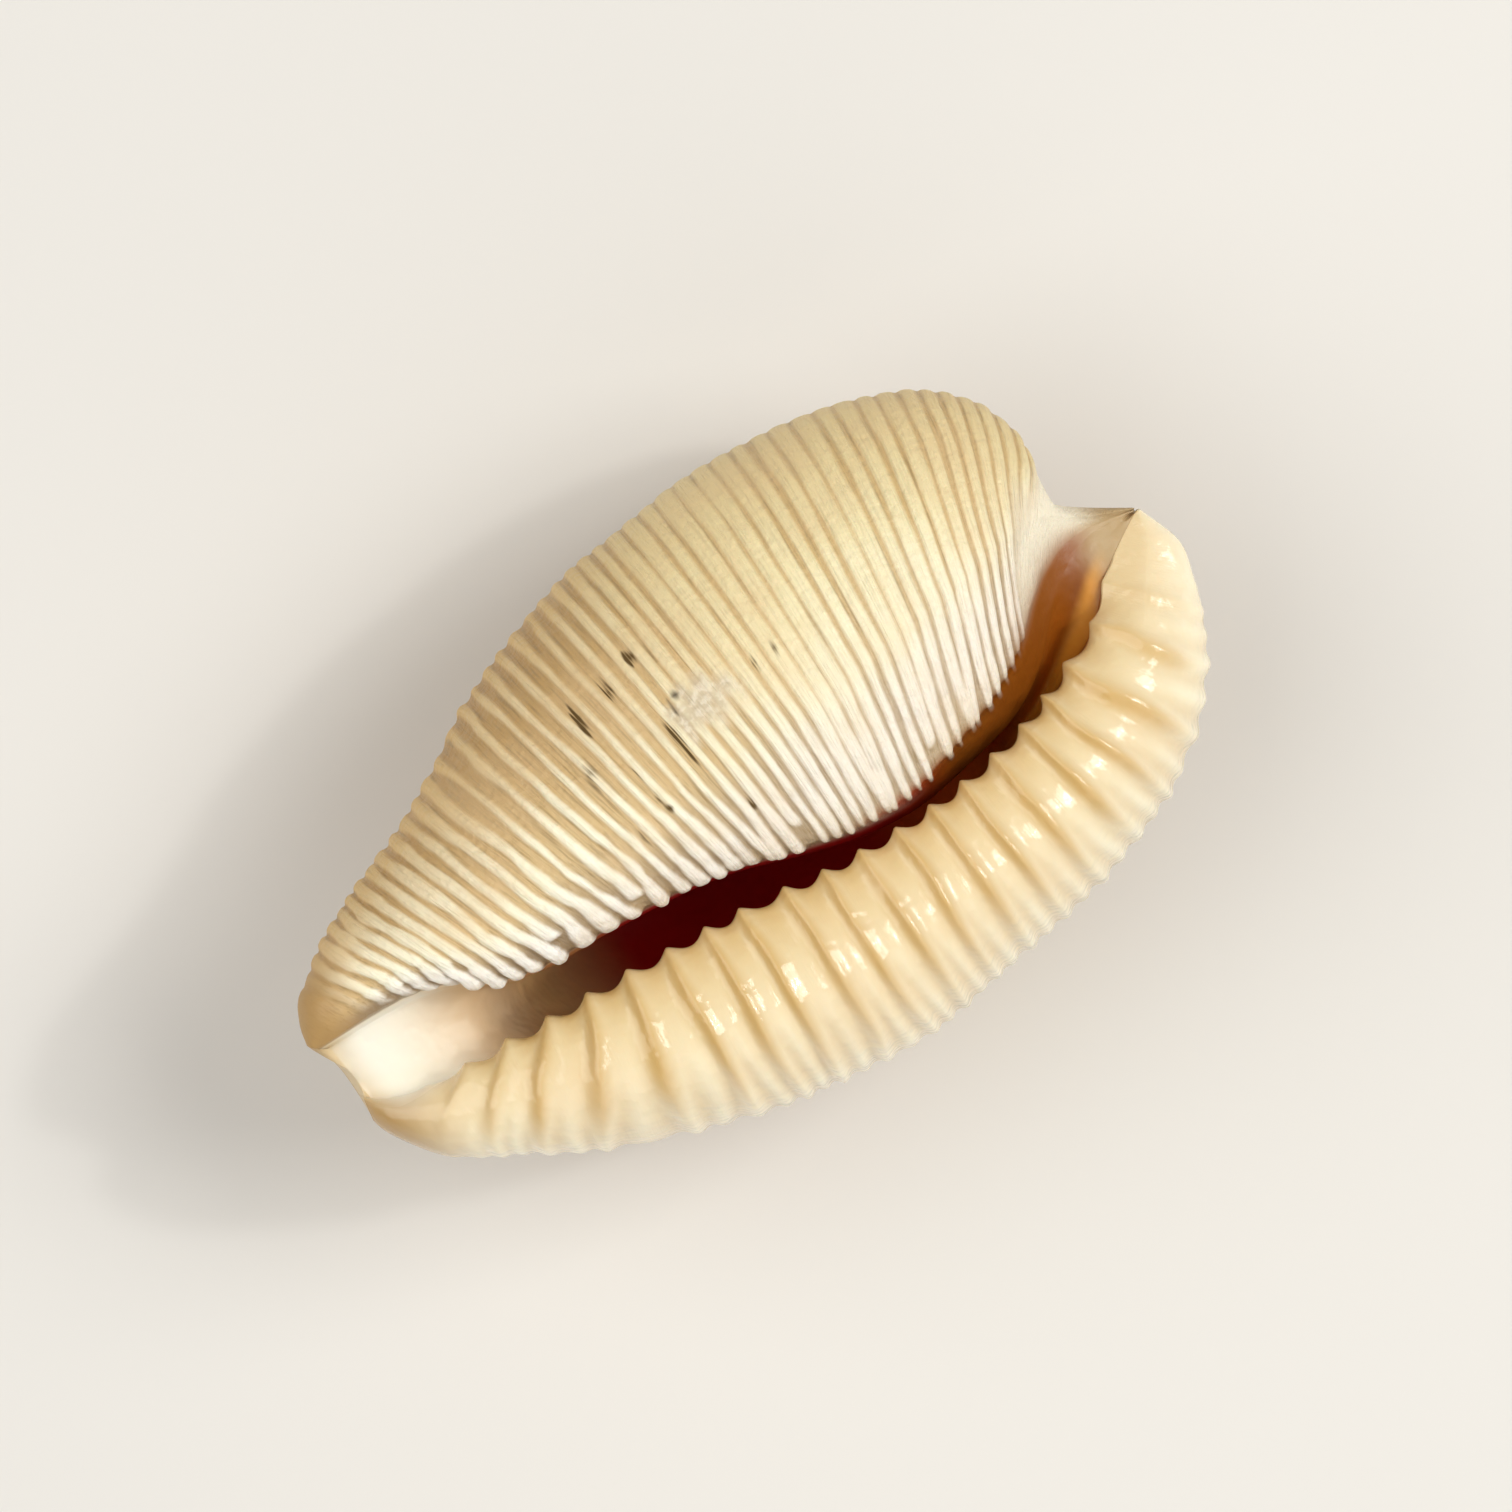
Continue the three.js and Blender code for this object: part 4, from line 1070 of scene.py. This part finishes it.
def inside_tone(coat):
    """From the white front canal through the dark hollow to the amber rear canal, painted lighter in its
    middle.
    """
    hollow = coat.ramp(coat.along, EDGE_TONES)
    # Painted highlight: the thin white line in the front canal stands in for a reflection on a fine ridge.
    glinted = coat.maths("MAXIMUM", *[glint_line(coat, *ends) for ends in GLINT_LINES])
    hollow = coat.mix(glinted, hollow, WHITE)
    # Painted glow: the lip side of the hollow is lighter, standing in for light that comes through the lip.
    glow = coat.ramp(coat.along, GLOW_TONES)
    lip_side = coat.ranged(coat.field("side"), *GLOW_SIDE)
    middle = coat.mix(lip_side, coat.ramp(coat.along, LIT_MIDDLE_TONES), glow)
    # Painted light: the middle of the hollow takes the lighter tones, its edges the plain ones.
    return coat.mix(coat.field("deep"), hollow, middle)


def shell_tone(coat):
    tips = coat.times(coat.ranged(coat.column, *TIP_COLUMNS), coat.ranged(coat.crest, *TIP_GROOVES))
    tips = coat.times(tips, coat.ranged(coat.along, *TIP_START))
    tips = coat.times(tips, coat.ranged(coat.along, *TIP_END))
    within = coat.maths("MAXIMUM", coat.inside, tips)
    tone = coat.mix(within, outside_tone(coat), inside_tone(coat))
    dirt = coat.times(coat.field("dirt"), coat.ranged(coat.crest, *DIRT_IN_GROOVES))
    dirt = coat.times(dirt, coat.ranged(coat.lines, *DIRT_LINES))
    tone = coat.mix(coat.ranged(dirt, *DIRT_TONE), tone, DIRT_BROWN)
    return coat.mix(coat.ranged(coat.field("pit"), *PIT_TONE), tone, PIT_BROWN)


def shell_finish():
    coat = Coat("cowrie shell")
    glazed = coat.maths("MAXIMUM", coat.inside, coat.ranged(coat.column, *GLAZE_COLUMNS))
    rough = coat.ranged(glazed, *SATIN_TO_GLAZED)
    rough = coat.plus(rough, coat.times(coat.inside, INSIDE_ROUGHER))
    rough = coat.plus(rough, coat.ranged(coat.cloud, *CLOUD_ROUGHNESS))
    dull = coat.maths("MAXIMUM", coat.field("worn"), coat.ranged(coat.field("dirt"), *DULL_DIRT))
    rough = coat.plus(rough, coat.times(dull, DULLER))
    fine = coat.plus(coat.lines, coat.times(coat.grain, GRAIN_SHARE))
    fine = coat.times(fine, coat.ranged(glazed, *BUMP_ON_GLAZE))
    fine = coat.times(fine, coat.ranged(coat.along, *BUMP_AT_TIP))
    bump = coat.add("ShaderNodeBump")
    coat.fill(bump, {"Height": fine, "Strength": BUMP_STRENGTH, "Distance": BUMP_DEPTH})
    low_waves = coat.noise(coat.place, WAVE_SCALE, SOFT_DETAIL)
    wave_strength = coat.ranged(glazed, *WAVE_STRENGTH)
    waves = coat.add("ShaderNodeBump")
    coat.fill(waves, {"Height": low_waves, "Strength": wave_strength, "Distance": WAVE_DEPTH})
    coat.feed(waves.inputs["Normal"], bump.outputs["Normal"])
    coat.fill(coat.shader, {
        "Base Color": shell_tone(coat),
        "Roughness": rough,
        "IOR": SHELL_IOR,
        "Subsurface Weight": SCATTER_WEIGHT,
        "Subsurface Radius": SCATTER_RADIUS,
        "Subsurface Scale": SCATTER_SCALE,
        "Normal": waves.outputs["Normal"],
    })
    return coat.material


# Floor: its half size, how fine and how deep its faint clouds are, its tone and its roughness.
FLOOR_HALF = 0.6
FLOOR_CLOUD_SCALE = 12.0
FLOOR_SHADE = 0.97
FLOOR_TONE = colour(226, 224, 220)
FLOOR_ROUGHNESS = 0.8


def floor_finish():
    nodes = Nodes("pale floor")
    place = nodes.add("ShaderNodeTexCoord").outputs["Object"]
    shade = nodes.noise(place, FLOOR_CLOUD_SCALE)
    darker = tuple(value * FLOOR_SHADE for value in FLOOR_TONE[:3]) + (1.0,)
    tone = nodes.mix(shade, darker, FLOOR_TONE)
    nodes.fill(nodes.shader, {"Base Color": tone, "Roughness": FLOOR_ROUGHNESS})
    return nodes.material


def add_floor():
    mesh = bpy.data.meshes.new("floor")
    corners = [(FLOOR_HALF * x, FLOOR_HALF * y, 0) for x, y in ((-1, -1), (1, -1), (1, 1), (-1, 1))]
    mesh.from_pydata(corners, [], [(0, 1, 2, 3)])
    mesh.materials.append(floor_finish())
    add_object("floor", mesh)


# Photo's frame: its size in pixels, the shell's centre in it, the long axis's slope, and the scale. The
# camera stands at its distance over the height of the shell's outline.
PHOTO_SIZE = 1512
SHELL_CENTRE = (748, 799)
LONG_AXIS_SLOPE = math.radians(35.5)
MM_PER_PIXEL = 0.03
CAMERA_DISTANCE = 0.32
OUTLINE_HEIGHT = 0.0085
SENSOR_WIDTH = 36.0
NEAREST_SEEN = 0.01


def image_axes():
    """The photo's right and up as directions on the floor. The camera looks straight down."""
    right = Vector((math.cos(LONG_AXIS_SLOPE), -math.sin(LONG_AXIS_SLOPE), 0))
    up = Vector((math.sin(LONG_AXIS_SLOPE), math.cos(LONG_AXIS_SLOPE), 0))
    return right, up


def add_camera():
    right, up = image_axes()
    pixel = MM_PER_PIXEL * MM
    middle = PHOTO_SIZE / 2
    target = right * (middle - SHELL_CENTRE[0]) * pixel + up * (SHELL_CENTRE[1] - middle) * pixel
    camera_data = bpy.data.cameras.new("camera")
    camera_data.sensor_width = SENSOR_WIDTH
    camera_data.lens = SENSOR_WIDTH * CAMERA_DISTANCE / (PHOTO_SIZE * pixel)
    camera_data.clip_start = NEAREST_SEEN
    camera = add_object("camera", camera_data)
    turn = Matrix((right, up, Vector((0, 0, 1)))).transposed()
    stand = target + Vector((0, 0, OUTLINE_HEIGHT + CAMERA_DISTANCE))
    camera.matrix_world = Matrix.Translation(stand) @ turn.to_4x4()
    bpy.context.scene.camera = camera


# Softboxes: name, direction as right, up and height over the photo's frame, distance, size and power.
SOFTBOXES = (
    ("key", (0.75, 0.22, 1.0), 0.5, 0.26, 1.3),
    ("glint", (0.75, 0.22, 1.0), 0.5, 0.03, 0.28),
    ("fill", (-0.8, 0.0, 1.0), 0.6, 0.6, 2.0),
    ("low", (0.3, -1.0, 0.7), 0.6, 0.6, 0.7),
)
LAMP_TONE = (1.0, 0.985, 0.95)
STUDIO_TONE = (1.0, 0.97, 0.93, 1.0)
STUDIO_STRENGTH = 0.28


def add_softbox(name, towards, distance, size, power):
    right, up = image_axes()
    direction = (right * towards[0] + up * towards[1] + Vector((0, 0, towards[2]))).normalized()
    data = bpy.data.lights.new(name, "AREA")
    data.shape = "SQUARE"
    data.size = size
    data.energy = power
    data.color = LAMP_TONE
    aim = direction.to_track_quat("Z", "Y").to_matrix().to_4x4()
    add_object(name, data).matrix_world = Matrix.Translation(direction * distance) @ aim


def add_lights():
    for softbox in SOFTBOXES:
        add_softbox(*softbox)
    world = bpy.data.worlds.new("studio")
    world.use_nodes = True
    background = world.node_tree.nodes["Background"]
    background.inputs["Color"].default_value = STUDIO_TONE
    background.inputs["Strength"].default_value = STUDIO_STRENGTH
    bpy.context.scene.world = world
    bpy.context.scene.view_settings.view_transform = "Standard"


add_camera()
add_lights()
add_floor()
cowrie = make_shell()
cowrie.data.materials.append(shell_finish())
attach(cowrie, "root")
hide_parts("shell")
